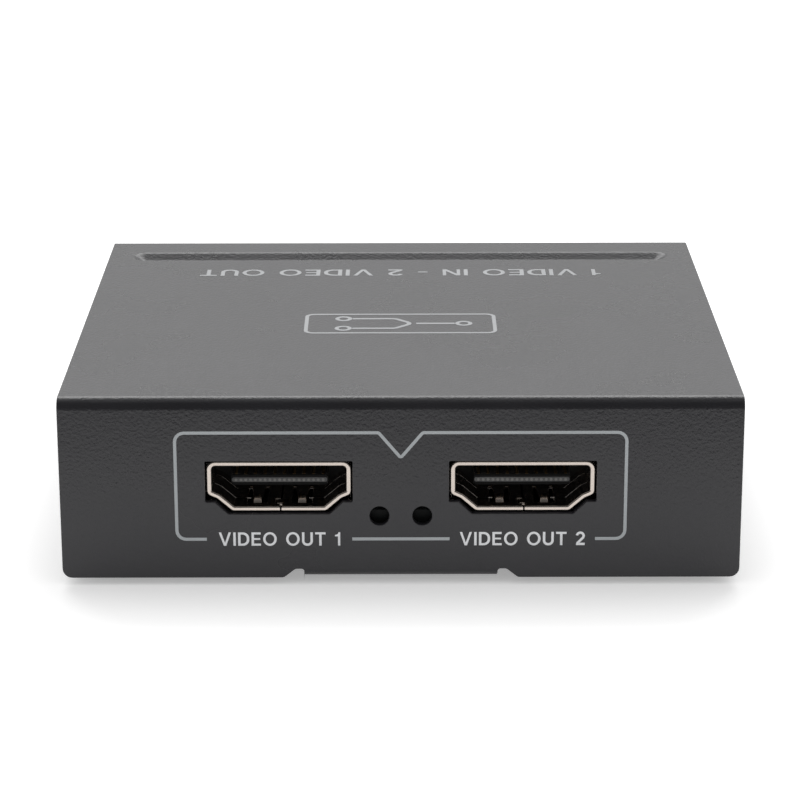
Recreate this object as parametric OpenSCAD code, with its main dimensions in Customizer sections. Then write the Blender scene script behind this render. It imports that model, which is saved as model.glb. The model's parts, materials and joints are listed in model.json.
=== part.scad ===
// Two-way video splitter in a folded steel case.
// A C-shaped cover (top, front and rear) closes over a U-shaped tray (floor and two sides). The tray
// carries a circuit board with two video outputs at the front, and one input and a power jack at the rear.
// Sizes are in millimetres. The feet stand on z = 0, the outputs face -Y, and x = 0 is the middle.

/* [Case] */
// Width of the case, side to side
case_w = 70; // [64:1:90]
// Depth of the case, front face to rear face
case_d = 64; // [60:1:90]
// Height of the cover, from its skirt edge to its top
case_h = 19.4; // [17.4:0.1:30]
// Thickness of the steel sheet
sheet_t = 0.8; // [0.6:0.1:1]
// Inside radius of the sheet's bends
bend_in_r = 0.4; // [0.2:0.1:0.8]
// Rounding of the skirt's lower corners
skirt_corner_r = 1; // [0.4:0.1:2]
// Gap between the cover and the tray's walls
seam_gap = 0.15; // [0.1:0.05:0.3]

/* [Groove] */
// Distance from each side of the case to the groove's end
groove_end = 4; // [2:0.5:20]
// Width of the groove at the surface
groove_w = 4; // [3:0.1:6]
// Sideways run of each of the groove's sloping walls
groove_slope = 1; // [0.4:0.1:1.2]
// Depth of the groove
groove_depth = 0.7; // [0.3:0.1:1]
// Distance from the rear face to the groove's centre line
groove_inset = 7.4; // [5:0.1:20]

/* [Front lip] */
// Width of the lip that is folded in under the tray
lip_w = 19.5; // [10:0.5:30]
// Length of the lip, measured from the front face
lip_len = 6; // [4:0.5:10]
// Inside radius of the lip's fold, tighter than the other bends
lip_bend_in_r = 0.05; // [0.02:0.01:0.3]
// Height of the lip's underside above the skirt edge
lip_rise = 0.1; // [0:0.05:0.5]
// Flat width of the relief notch at each end of the lip
relief_w = 0.9; // [0.5:0.1:2]
// Sideways run of the notch's outer flank
relief_slope = 1.45; // [0.2:0.05:3]

/* [Tray] */
// Width of each screw tab at the rear of the tray
tab_w = 10; // [7:0.5:14]
// Distance from the side of the case to a tab's middle
tab_inset = 9; // [8:0.5:12]
// Distance from the screw's axis to the tab's upper edge
tab_margin = 2.8; // [2:0.1:5]
// Number of vent slots in each side wall
vent_count = 7; // [1:1:9]
// Width of a vent slot
vent_w = 1.6; // [1:0.1:2.5]
// Height of a vent slot
vent_h = 6; // [4:0.5:9]
// Distance between neighbouring vent slots
vent_pitch = 4.5; // [3:0.1:6]

/* [Screws] */
// Diameter of every screw's shank
screw_d = 2.5; // [2:0.1:2.8]
// Diameter of every screw's head
screw_head_d = 4.6; // [4:0.1:5]
// Height of every screw's head
screw_head_h = 1.6; // [1.2:0.1:2]
// Length of a cover screw under its head
screw_len = 5; // [3:0.5:6]
// Width of the cross recess in a head
recess_w = 0.7; // [0.4:0.1:1]
// Span of the cross recess
recess_span = 2.6; // [1.6:0.1:3.2]
// Depth of the cross recess
recess_depth = 0.8; // [0.4:0.1:1]
// Room round a shank in a plain hole
hole_gap = 0.2; // [0.1:0.05:0.4]
// Room round a shank in its thread
thread_gap = 0.05; // [0.02:0.01:0.1]

/* [Feet] */
// Diameter of a rubber foot
foot_d = 8; // [5:0.5:10]
// How far the feet stand out below the skirt edge
foot_drop = 0.8; // [0.3:0.1:4]
// Distance from the case's edges to a foot's middle
foot_inset = 8; // [6.5:0.5:14]
// Slant at a foot's lower edge
foot_edge = 0.4; // [0.1:0.1:0.8]

/* [Board] */
// Thickness of the circuit board
board_t = 1.6; // [1:0.2:2]
// Rounding of the board's corners
board_corner_r = 1.5; // [0.5:0.5:3]
// Gap between the board and the sheet at its front and rear
board_gap = 0.6; // [0.3:0.1:1.2]
// Gap between the board and the tray's walls
board_side_gap = 1.5; // [0.5:0.1:2]
// Height of a standoff
standoff_h = 3.7; // [3.3:0.1:4.2]
// Diameter of a standoff
standoff_d = 5; // [4.2:0.1:6]
// Distance from the side of the case to a standoff's middle
standoff_inset = 6.5; // [6:0.1:7.5]
// Distance from the front sheet to the front standoffs
standoff_front = 7.2; // [5:0.1:12]
// Distance from the rear sheet to the rear standoffs
standoff_rear = 9.2; // [7:0.1:14]
// Room under a board screw's tip
screw_tip_gap = 0.5; // [0.2:0.1:1]

/* [Video ports] */
// Distance between the two outputs' middles
port_pitch = 25; // [24:0.5:30]
// Sideways place of the input's middle
in_x = 10; // [6:0.5:20]
// How far an output's rim lies behind the front face
port_recess = 0.4; // [0.1:0.1:0.7]
// Gap between the rear connectors and the rear sheet
rear_gap = 0.1; // [0.05:0.05:0.4]
// Gap between a port and its opening in the sheet
port_gap = 0.2; // [0.1:0.05:0.4]
// Inside width of a port
port_w = 14; // [13.5:0.1:14.6]
// Inside height of a port
port_h = 4.55; // [4.4:0.05:4.8]
// Width of a port's floor
port_floor_w = 9.3; // [9:0.1:10]
// Width of a port across its lower shoulders
port_knee_w = 12.3; // [12:0.1:13]
// Height of the lower shoulders above the floor
port_knee_h = 1.3; // [1.1:0.05:1.5]
// Height above the floor at which the upright sides start
port_side_h = 1.7; // [1.55:0.05:2]
// Rounding inside a port's upper corners
port_corner_r = 0.6; // [0.3:0.1:1]
// Thickness of a port's metal shell
shell_t = 0.35; // [0.25:0.05:0.4]
// Length of a port's metal shell
shell_len = 11; // [10:0.5:13]
// Gap between a shell's underside and the board
port_rise = 0.25; // [0.1:0.05:0.4]
// Width of the seam under a shell
seam_w = 0.1; // [0.05:0.05:0.2]
// Length of each step of the seam's key
seam_key = 1; // [0.6:0.1:1.4]
// Width of a shell's spring finger
finger_w = 1.5; // [1:0.1:2]
// Sideways place of a finger's middle
finger_x = 2.4; // [1.9:0.1:3]
// Distance from the rim to a finger's window
finger_front = 1.9; // [1.6:0.1:2.2]
// Length of a finger's window
finger_len = 4.5; // [3:0.1:4.8]
// Gap beside and in front of a finger
finger_slot = 0.25; // [0.15:0.05:0.4]
// Angle at which a finger leans into the port
finger_lean = 5; // [2:0.5:6]
// Width of a shell's solder leg
leg_w = 1.4; // [1:0.1:2]
// Distance from the rim to the first leg
leg_front = 2.6; // [2:0.1:3.5]
// Distance between a side's two legs
leg_pitch = 5.5; // [4:0.1:6.5]
// How far the solder legs reach below the board
leg_len = 0.8; // [0.4:0.1:1.2]
// Room round a leg in its slot in the board
leg_gap = 0.2; // [0.1:0.05:0.3]

/* [Port tongues and contacts] */
// Width of the tongue
tongue_w = 9.9; // [9.6:0.1:10.4]
// Thickness of the tongue
tongue_t = 1.15; // [0.9:0.05:1.3]
// Height of the tongue's middle above the port's floor
tongue_mid = 2.35; // [2.2:0.05:2.5]
// Distance from the rim to the tongue's tip
tongue_set = 1.9; // [1.4:0.1:2.4]
// Slant at the tongue's tip
tongue_slant = 0.25; // [0.1:0.05:0.35]
// Distance from the rim to the port's back wall
block_set = 7.2; // [7:0.1:8.5]
// Gap between the moulding and the shell
mould_gap = 0.05; // [0.02:0.01:0.1]
// Number of contacts, shared between the tongue's two faces
contact_count = 19; // [9:2:19]
// Sideways step from one contact to the next
contact_pitch = 0.5; // [0.45:0.05:0.5]
// Width of a contact
contact_w = 0.3; // [0.2:0.05:0.4]
// Thickness of a contact
contact_t = 0.15; // [0.1:0.05:0.25]
// Room round a contact in the moulding
contact_gap = 0.02; // [0.01:0.01:0.04]
// Gap between the moulding's back and the contacts' tails
tail_gap = 0.3; // [0.1:0.1:0.6]
// Length of a contact's solder foot
tail_foot = 0.9; // [0.5:0.1:1.4]

/* [Power jack] */
// Distance from the side of the case to the jack's axis
jack_inset = 15; // [14:0.5:18]
// Height of the jack's axis above the board
jack_axis_h = 4.4; // [4.2:0.1:4.6]
// Height of the jack's housing
jack_h = 8.4; // [8.2:0.1:8.6]
// Length of the jack's housing
jack_len = 13; // [12:0.5:15]
// Thickness of the housing's side walls
jack_wall = 1; // [0.7:0.1:1.4]
// Diameter of the jack's bore
jack_bore_d = 6.2; // [5.9:0.1:6.6]
// Depth of the jack's bore
jack_bore_len = 9.5; // [9:0.5:11]
// Diameter of the centre pin
jack_pin_d = 2; // [1.6:0.1:2.5]
// Distance from the mouth to the pin's tip
jack_pin_set = 1; // [0.5:0.1:2]
// Slant at the pin's tip
jack_pin_slant = 0.4; // [0.2:0.1:0.6]
// Diameter of the pin's root in the housing's back wall
pin_root_d = 2.6; // [2.6:0.1:3]
// Room round the pin's root
pin_gap = 0.03; // [0.01:0.01:0.06]
// Room between the plug's way in and the opening in the rear sheet
jack_hole_gap = 0.4; // [0.2:0.1:1]
// Thickness of the jack's leaf spring
leaf_t = 0.25; // [0.2:0.05:0.35]
// Height of the leaf spring
leaf_w = 2.2; // [1.6:0.1:3]
// Distance from the mouth to the leaf spring's root
leaf_root = 8.2; // [7.5:0.1:8.4]
// Distance from the mouth to the leaf spring's bend
leaf_bend = 3; // [2.6:0.1:4]
// Distance from the mouth to the leaf spring's tip
leaf_tip = 1.9; // [1.7:0.1:2.2]
// How far the leaf spring's bend stands into the bore
leaf_bite = 0.7; // [0.4:0.1:0.9]
// Radius of the leaf spring's rolled root
root_r = 0.35; // [0.3:0.05:0.45]
// Running room round the rolled root
root_gap = 0.05; // [0.03:0.01:0.08]
// Wall of the eye that holds the rolled root
eye_wall = 0.35; // [0.25:0.05:0.45]
// Room for the leaf spring in its pocket
leaf_gap = 0.3; // [0.2:0.05:0.4]
// Thickness of the jack's solder terminals
terminal_t = 0.4; // [0.3:0.1:0.6]
// Width of the jack's solder terminals
terminal_w = 1.4; // [1:0.1:1.8]

/* [Parts on the board] */
// Least gap between neighbouring parts
part_gap = 1; // [0.6:0.1:1.2]
// Width, depth and height of the main chip
chip_size = [10, 10, 0.9]; // [0.5:0.1:14]
// Distance from the front sheet to the main chip's middle
chip_back = 22; // [21:0.5:28]
// Width, depth and height of a memory chip's body
memory_size = [4.9, 3.9, 1.5]; // [0.5:0.1:8]
// Sideways place of the memory chips
memory_x = 17; // [14:0.5:22]
// Number of leads on each side of a memory chip
memory_leads = 4; // [2:1:4]
// Step between a memory chip's leads
memory_pitch = 1.27; // [0.8:0.01:1.27]
// Width of a memory chip's lead
memory_lead_w = 0.42; // [0.3:0.01:0.5]
// Width, depth and height of a voltage regulator's body
regulator_size = [3.5, 6.5, 1.6]; // [0.5:0.1:8]
// Step between a regulator's leads
regulator_pitch = 2.3; // [1.5:0.1:2.3]
// Width of a regulator's lead
regulator_lead_w = 0.7; // [0.5:0.1:1]
// Width of a regulator's cooling tab
regulator_tab_w = 3; // [2:0.1:3.4]
// Distance between the two regulators' middles
regulator_step = 9; // [8:0.5:12]
// Reach and thickness of the chips' bent leads
lead_size = [1, 0.2]; // [0.1:0.05:1.6]
// Width and height of the power inductor
inductor_size = [6, 3]; // [2:0.1:8]
// Width of the inductor across its cut-off corners
inductor_across = 7.2; // [6.4:0.1:8]
// Length, width and height of the clock crystal's can
crystal_size = [10.4, 3.7, 3.3]; // [1:0.1:12]
// Sideways place of the crystal's middle
crystal_x = 15; // [13:0.5:20]
// Distance from the main chip's middle back to the crystal's
crystal_back = 10.4; // [8:0.1:14]
// Rim round the foot of the crystal's can
crystal_rim = 0.4; // [0.2:0.1:0.6]
// Diameter and height of a bulk capacitor's can
bulk_size = [6.3, 5.8]; // [3:0.1:7]
// Thickness of a bulk capacitor's plastic base
bulk_base = 0.8; // [0.4:0.1:1.2]
// Length, width and height of a ceramic capacitor
ceramic_size = [1.6, 0.8, 0.8]; // [0.3:0.1:2.5]
// Length, width and height of a chip resistor
resistor_size = [1.6, 0.8, 0.45]; // [0.3:0.05:2.5]
// Length of the metal cap at each end of a small part
end_cap = 0.3; // [0.15:0.05:0.5]
// Thickness by which an end cap stands out
end_cap_t = 0.03; // [0.01:0.01:0.06]
// Step between neighbouring small parts
small_step = 2.6; // [2.2:0.1:3]
// Length, width and height of a surge array
surge_size = [2.5, 1, 0.6]; // [0.4:0.1:3]
// Width, depth and height of a status light
light_size = [1.6, 1, 0.9]; // [0.4:0.1:2]
// Sideways place of the status lights and their holes
light_x = 2.2; // [1.6:0.1:3]
// Diameter of a status light's hole in the front sheet
light_hole_d = 2; // [1:0.1:2.4]
// How far the holes' middles lie below the board's upper face
light_drop = 0.2; // [0:0.1:0.5]
// Distance from the board's front edge to a status light
light_back = 1; // [0:0.1:3]

/* [Hidden] */
$fn = 48;
// Overlap used to cut cleanly through a face
cut = 1;
bend_r = sheet_t + bend_in_r;
lip_bend_r = sheet_t + lip_bend_in_r;
// The relief notch is as high as the lip's fold
relief_h = lip_rise + lip_bend_r;
// The screw heads stand out behind the rear face, and y = 0 is the middle of the whole depth
front_y = -(case_d + screw_head_h) / 2;
rear_y = front_y + case_d;
front_in = front_y + sheet_t;
rear_in = rear_y - sheet_t;
side_x = case_w / 2;
// Heights, from the floor up
skirt_z = foot_drop;
top_z = skirt_z + case_h;
lip_z = skirt_z + lip_rise;
tray_z = lip_z + sheet_t;
plate_z = tray_z + sheet_t;
board_z = plate_z + standoff_h;
board_top = board_z + board_t;
port_z = board_top + port_rise;
// Edges of the tray's floor, clear of the cover's bends
floor_front = front_y + lip_bend_r + seam_gap;
floor_rear = rear_in - bend_r;
wall_top = top_z - sheet_t - seam_gap;
// Fastenings
tab_x = side_x - tab_inset;
screw_z = plate_z + standoff_h / 2;
board_screw_len = board_t + standoff_h - screw_tip_gap;
standoff_x = side_x - standoff_inset;
standoff_ys = [front_in + standoff_front, rear_in - standoff_rear];
// Board
board_x = side_x - sheet_t - board_side_gap;
board_front = front_in + board_gap;
board_rear = rear_in - sheet_t - board_gap;
// Ports: half of the opening's outline above its floor, from the floor's corner to the upper corner
port_half = [
    [port_floor_w / 2, 0],
    [port_knee_w / 2, port_knee_h],
    [port_w / 2, port_side_h],
    [port_w / 2, port_h]
];
function both_sides(half) = concat(half, [for (i = [len(half) - 1:-1:0]) [-half[i].x, half[i].y]]);
port_points = both_sides(port_half);
// The opening in the sheet is plainer, with square corners and a level step below the port's shoulders
port_room = shell_t + port_gap;
opening_points = both_sides([
    [port_floor_w / 2 + port_room, -port_room],
    [port_knee_w / 2 + shell_t, port_knee_h - port_room],
    [port_w / 2 + port_room, port_knee_h - port_room],
    [port_w / 2 + port_room, port_h + port_room]
]);
out_y = front_y + port_recess;
in_y = rear_in - rear_gap;
tail_end = shell_len + tail_gap + contact_t + tail_foot;
// Power jack
jack_x = -(side_x - jack_inset);
bore_r = jack_bore_d / 2;
pin_r = jack_pin_d / 2;
eye_r = root_r + root_gap + eye_wall;
root_x = bore_r + eye_r;
pocket_x = root_x + eye_r + leaf_gap;
pocket_back = leaf_root + eye_r + leaf_gap;
terminal_y = leaf_root + root_r + root_gap + eye_wall / 2;
// Parts on the board
chip_y = front_in + chip_back;
regulator_y = chip_y + memory_size.y / 2 + 2 * part_gap + resistor_size.y + regulator_size.y / 2;
regulator_rear_y = regulator_y + regulator_step;
// Clear distance from the jack's axis past its housing, and past the regulators that stand in line with it
jack_reach = pocket_x + jack_wall + part_gap;
regulator_reach = regulator_size.x / 2 + lead_size.x + part_gap;
light_z = board_top - light_drop;

// Directions: an outline in (x, z) is pushed along +Y, and one in (y, z) along +X
module along_y(y, length) {
    translate([0, y + length, 0]) rotate([90, 0, 0]) linear_extrude(length) children();
}

module along_x(x, length) {
    translate([x, 0, 0]) rotate([90, 0, 90]) linear_extrude(length) children();
}

module mirrored_x() {
    children();
    mirror([1, 0, 0]) children();
}

// A box from its lowest corner to its highest
module span(low, high) {
    translate(low) cube(high - low);
}

// A box that stands on z = 0, centred in x and y
module standing(size) {
    translate([-size.x / 2, -size.y / 2, 0]) cube(size);
}

// Quarter ring of a folded sheet, in the quadrant that sx and sy point to
module bend(centre, sx, sy, in_r = bend_in_r) {
    out_r = in_r + sheet_t;
    translate(centre) intersection() {
        difference() {
            circle(out_r);
            circle(in_r);
        }
        mirror([sx < 0 ? 1 : 0, 0]) mirror([0, sy < 0 ? 1 : 0]) square(out_r);
    }
}

// Rectangle with rounded corners, from low to high
module rounded(low, high, r) {
    translate([low.x + r, low.y]) square([high.x - low.x - 2 * r, high.y - low.y]);
    translate([low.x, low.y + r]) square([high.x - low.x, high.y - low.y - 2 * r]);
    for (x = [low.x + r, high.x - r], y = [low.y + r, high.y - r]) translate([x, y]) circle(r);
}

// Upright slot with round ends, centred on the origin
module slot(w, h) {
    translate([-w / 2, -(h - w) / 2]) square([w, h - w]);
    for (y = [-1, 1] * (h - w) / 2) translate([0, y]) circle(w / 2);
}

// Outline moved outwards by d, with its corners kept sharp
function unit(v) = v / norm(v);
function outward(a, b) = let (u = unit(b - a)) [u.y, -u.x];
function grown(points, d) = [
    for (i = [0:len(points) - 1])
        let (
            n = len(points),
            before = outward(points[(i + n - 1) % n], points[i]),
            after = outward(points[i], points[(i + 1) % n])
        )
        points[i] + d * (before + after) / (1 + before * after)
];

// Cover: one sheet folded down at the front and rear
module cover_profile() {
    for (y = [front_y, rear_in]) translate([y, skirt_z]) square([sheet_t, case_h - bend_r]);
    translate([front_y + bend_r, top_z - sheet_t]) square([case_d - 2 * bend_r, sheet_t]);
    bend([front_y + bend_r, top_z - bend_r], -1, 1);
    bend([rear_y - bend_r, top_z - bend_r], 1, 1);
}

module lip_profile() {
    bend([front_y + lip_bend_r, lip_z + lip_bend_r], -1, -1, lip_bend_in_r);
    translate([front_y + lip_bend_r, lip_z]) square([lip_len - lip_bend_r, sheet_t]);
}

// Space taken out of the front flange for the lip and its relief notches
module lip_cut() {
    translate([-lip_w / 2, skirt_z - cut]) square([lip_w, relief_h + cut]);
    mirrored_x() translate([lip_w / 2, skirt_z]) polygon([
        [0, -cut], [0, relief_h], [relief_w, relief_h],
        [relief_w + relief_slope, 0], [relief_w + relief_slope, -cut]
    ]);
}

// Bar with sloping sides and ends; w and length are its size at the top surface
module groove_bar(w, length, depth, above) {
    slope = groove_slope / groove_depth;
    mid_y = rear_y - groove_inset;
    intersection() {
        along_x(-length, 2 * length) translate([mid_y, top_z]) groove_side(w, depth, above, slope);
        along_y(mid_y - length, 2 * length) translate([0, top_z]) groove_side(length, depth, above, slope);
    }
}

module groove_side(w, depth, above, slope) {
    top_half = w / 2 + above * slope;
    low_half = w / 2 - depth * slope;
    polygon([[-low_half, -depth], [low_half, -depth], [top_half, above], [-top_half, above]]);
}

module skirt_corner_cut() {
    mirrored_x() translate([side_x - skirt_corner_r, skirt_z]) difference() {
        translate([0, -cut]) square([skirt_corner_r + cut, skirt_corner_r + cut]);
        translate([0, skirt_corner_r]) circle(skirt_corner_r);
    }
}

module port_opening(y) {
    along_y(y - cut, sheet_t + 2 * cut) translate([0, port_z + shell_t]) polygon(opening_points);
}

module top_cover() {
    color([0.24, 0.24, 0.25]) {
        difference() {
            union() {
                along_x(-side_x, case_w) cover_profile();
                groove_under();
            }
            along_y(front_y - cut, sheet_t + cut) lip_cut();
            along_y(front_y - cut, case_d + 2 * cut) skirt_corner_cut();
            groove_bar(groove_w, case_w - 2 * groove_end, groove_depth, sheet_t);
            for (s = [-1, 1]) translate([s * port_pitch / 2, 0, 0]) port_opening(front_y);
            translate([in_x, 0, 0]) port_opening(rear_in);
            mirrored_x() along_y(front_y - cut, sheet_t + 2 * cut)
                translate([light_x, light_z]) circle(light_hole_d / 2);
            along_y(rear_in - cut, sheet_t + 2 * cut)
                translate([jack_x, board_top + jack_axis_h]) circle(bore_r + jack_hole_gap);
            mirrored_x() along_y(rear_in - cut, sheet_t + 2 * cut)
                translate([tab_x, screw_z]) circle(screw_d / 2 + hole_gap);
        }
        along_x(-lip_w / 2, lip_w) lip_profile();
    }
}

// The pressed groove's underside, one sheet below the groove and never above the sheet's own underside
module groove_under() {
    intersection() {
        groove_bar(
            groove_w + 2 * groove_slope * sheet_t / groove_depth,
            case_w - 2 * groove_end + 2 * groove_slope * sheet_t / groove_depth,
            groove_depth + sheet_t, 0
        );
        span([-side_x, front_in, skirt_z], [side_x, rear_in, top_z - sheet_t / 2]);
    }
}

// Tray: one sheet folded up at both sides, with two screw tabs at the rear
module tray_profile() {
    translate([-side_x + bend_r, tray_z]) square([case_w - 2 * bend_r, sheet_t]);
    bend([-side_x + bend_r, tray_z + bend_r], -1, -1);
    bend([side_x - bend_r, tray_z + bend_r], 1, -1);
}

module wall_profile() {
    low = [front_in + seam_gap, tray_z + bend_r];
    high = [rear_in - seam_gap, wall_top];
    difference() {
        translate(low) square(high - low);
        for (y = [low.x + bend_in_r, high.x - bend_in_r]) difference() {
            translate([y < 0 ? y - bend_in_r - cut : y, high.y - bend_in_r]) square(bend_in_r + cut);
            translate([y, high.y - bend_in_r]) circle(bend_in_r);
        }
        translate((low + high) / 2) for (i = [0:vent_count - 1])
            translate([(i - (vent_count - 1) / 2) * vent_pitch, 0]) slot(vent_w, vent_h);
    }
}

module tab_profile() {
    bend([floor_rear, tray_z + bend_r], 1, -1);
    translate([rear_in - sheet_t, tray_z + bend_r])
        square([sheet_t, screw_z + tab_margin - tray_z - bend_r]);
}

module base_tray() {
    color([0.22, 0.22, 0.23]) {
        along_y(floor_front, floor_rear - floor_front) tray_profile();
        mirrored_x() along_x(side_x - sheet_t, sheet_t) wall_profile();
        mirrored_x() difference() {
            along_x(tab_x - tab_w / 2, tab_w) tab_profile();
            along_y(rear_in - sheet_t - cut, sheet_t + 2 * cut)
                translate([tab_x, screw_z]) circle(screw_d / 2 + thread_gap);
        }
    }
}

// Pan-head screw, seated on z = 0 with its shank pointing down
module pan_screw(length) {
    crown_r = (pow(screw_head_d / 2, 2) + pow(screw_head_h, 2)) / (2 * screw_head_h);
    translate([0, 0, -length]) cylinder(d = screw_d, h = length + screw_head_h / 2);
    difference() {
        rotate_extrude() intersection() {
            square([screw_head_d / 2, screw_head_h]);
            translate([0, screw_head_h - crown_r]) circle(crown_r);
        }
        for (turn = [0, 90]) rotate([0, 0, turn])
            translate([-recess_span / 2, -recess_w / 2, screw_head_h - recess_depth])
                cube([recess_span, recess_w, recess_depth + cut]);
    }
}

module cover_screws() {
    color([0.12, 0.12, 0.13])
        mirrored_x() translate([tab_x, rear_y, screw_z]) rotate([-90, 0, 0]) pan_screw(screw_len);
}

module rubber_feet() {
    color([0.08, 0.08, 0.08])
        for (x = [-1, 1] * (side_x - foot_inset), y = [front_y + foot_inset, rear_y - foot_inset])
            translate([x, y, 0]) {
                cylinder(d1 = foot_d - 2 * foot_edge, d2 = foot_d, h = foot_edge);
                translate([0, 0, foot_edge]) cylinder(d = foot_d, h = tray_z - foot_edge);
            }
}

// Circuit board and its fastenings
module at_standoffs() {
    for (x = [-1, 1] * standoff_x, y = standoff_ys) translate([x, y, 0]) children();
}

module board_standoffs() {
    color([0.8, 0.7, 0.4]) at_standoffs() translate([0, 0, plate_z]) difference() {
        cylinder(d = standoff_d, h = standoff_h);
        translate([0, 0, -cut]) cylinder(d = screw_d + 2 * thread_gap, h = standoff_h + 2 * cut);
    }
}

module board_screws() {
    color([0.75, 0.75, 0.77]) at_standoffs() translate([0, 0, board_top]) pan_screw(board_screw_len);
}

module circuit_board() {
    color([0.05, 0.2, 0.12]) difference() {
        translate([0, 0, board_z]) linear_extrude(board_t)
            rounded([-board_x, board_front], [board_x, board_rear], board_corner_r);
        at_standoffs() cylinder(d = screw_d + 2 * hole_gap, h = top_z);
        for (s = [-1, 1]) at_output(s) shell_legs(leg_gap);
        at_input() shell_legs(leg_gap);
        at_jack() jack_legs(leg_gap);
    }
}

// Video port, with its rim at y = 0, its inside towards +Y and its shell's underside at z = 0
module at_output(side) {
    translate([side * port_pitch / 2, out_y, port_z]) children();
}

module at_input() {
    translate([in_x, in_y, port_z]) rotate([0, 0, 180]) children();
}

module port_outline(grow) {
    r = port_corner_r + grow;
    half = port_w / 2 + grow;
    top = port_h + grow;
    translate([0, shell_t]) intersection() {
        polygon(grown(port_points, grow));
        union() {
            translate([-half, -port_h]) square([2 * half, port_h + top - r]);
            translate([r - half, -port_h]) square([2 * (half - r), port_h + top]);
            for (x = [-1, 1] * (half - r)) translate([x, top - r]) circle(r);
        }
    }
}

// Keyed seam that runs along the shell's floor, with its two lines on either side of the middle
module shell_seam() {
    low = -cut;
    high = shell_t + seam_w;
    half = seam_w / 2;
    span([-half, -cut, low], [half, seam_key + half, high]);
    span([-seam_key / 2 - half, seam_key - half, low], [half, seam_key + half, high]);
    span([-seam_key / 2 - half, seam_key - half, low], [-seam_key / 2 + half, 2 * seam_key + half, high]);
    span([-seam_key / 2 - half, 2 * seam_key - half, low], [half, 2 * seam_key + half, high]);
    span([-half, 2 * seam_key - half, low], [half, shell_len + cut, high]);
}

module finger_window() {
    half = finger_w / 2 + finger_slot;
    span([-half, finger_front, -cut], [half, finger_front + finger_len, shell_t + cut]);
}

// Spring finger, rooted at the window's far end and leaning up into the port
module finger() {
    root = finger_front + finger_len;
    translate([0, root, 0]) rotate([-finger_lean, 0, 0])
        span([-finger_w / 2, finger_slot - finger_len, 0], [finger_w / 2, 0, shell_t]);
    span([-finger_w / 2, root - shell_t, 0], [finger_w / 2, root + shell_t, shell_t]);
}

module at_fingers() {
    for (x = [-1, 1] * finger_x) {
        translate([x, 0, 0]) children();
        translate([x, 0, port_h + 2 * shell_t]) mirror([0, 0, 1]) children();
    }
}

module shell_legs(gap) {
    mirrored_x() for (y = [0, leg_pitch])
        span(
            [port_w / 2 - gap, leg_front + y - gap, -port_rise - board_t - leg_len],
            [port_w / 2 + shell_t + gap, leg_front + y + leg_w + gap, shell_t + port_side_h + leg_w]
        );
}

module shell() {
    color([0.8, 0.78, 0.74]) {
        difference() {
            along_y(0, shell_len) port_outline(shell_t);
            along_y(-cut, shell_len + 2 * cut) port_outline(0);
            translate([seam_key / 4, 0, 0]) shell_seam();
            at_fingers() finger_window();
        }
        at_fingers() finger();
        shell_legs(0);
    }
}

function contact_x(i) = (i - (contact_count - 1) / 2) * contact_pitch;
function on_top(i) = i % 2 == 0;
function bar_low(i) = shell_t + tongue_mid + (on_top(i) ? tongue_t / 2 - contact_t : -tongue_t / 2);

module insulator() {
    mid = shell_t + tongue_mid;
    half = tongue_t / 2;
    color([0.06, 0.06, 0.06]) difference() {
        union() {
            along_y(block_set, shell_len - block_set) port_outline(-mould_gap);
            along_x(-tongue_w / 2, tongue_w) polygon([
                [tongue_set, mid - half + tongue_slant], [tongue_set + tongue_slant, mid - half],
                [block_set + cut, mid - half], [block_set + cut, mid + half],
                [tongue_set + tongue_slant, mid + half], [tongue_set, mid + half - tongue_slant]
            ]);
        }
        for (i = [0:contact_count - 1]) translate([contact_x(i), 0, bar_low(i)])
            span(
                [-contact_w / 2 - contact_gap, tongue_set - cut, -contact_gap],
                [contact_w / 2 + contact_gap, shell_len + cut, contact_t + contact_gap]
            );
    }
}

// Each contact runs along the tongue, through the moulding and down to the board
module contacts() {
    back = shell_len + tail_gap + contact_t;
    low = -port_rise;
    color([0.85, 0.7, 0.4]) for (i = [0:contact_count - 1]) {
        z = bar_low(i);
        along_x(contact_x(i) - contact_w / 2, contact_w) polygon([
            [tongue_set + tongue_slant, z + contact_t], [back, z + contact_t], [back, low + contact_t],
            [back + tail_foot, low + contact_t], [back + tail_foot, low], [back - contact_t, low],
            [back - contact_t, z], [tongue_set + tongue_slant, z]
        ]);
    }
}

module out_1_shell() { at_output(-1) shell(); }
module out_1_insulator() { at_output(-1) insulator(); }
module out_1_contacts() { at_output(-1) contacts(); }
module out_2_shell() { at_output(1) shell(); }
module out_2_insulator() { at_output(1) insulator(); }
module out_2_contacts() { at_output(1) contacts(); }
module in_shell() { at_input() shell(); }
module in_insulator() { at_input() insulator(); }
module in_contacts() { at_input() contacts(); }

// Power jack, with its mouth at y = 0, its inside towards +Y and the board's upper face at z = 0
module at_jack() {
    translate([jack_x, in_y, board_top]) rotate([0, 0, 180]) children();
}

// Upright terminals: one on the eye beside the bore, one behind the centre pin
module eye_leg(gap) {
    span(
        [-root_x - terminal_w / 2 - gap, terminal_y - gap, -board_t - leg_len],
        [-root_x + terminal_w / 2 + gap, terminal_y + terminal_t + gap, jack_axis_h]
    );
}

module pin_leg(gap) {
    span(
        [-terminal_w / 2 - gap, jack_len - gap, -board_t - leg_len],
        [terminal_w / 2 + gap, jack_len + terminal_t + gap, jack_axis_h + pin_r]
    );
}

module jack_legs(gap) {
    eye_leg(gap);
    pin_leg(gap);
}

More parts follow.
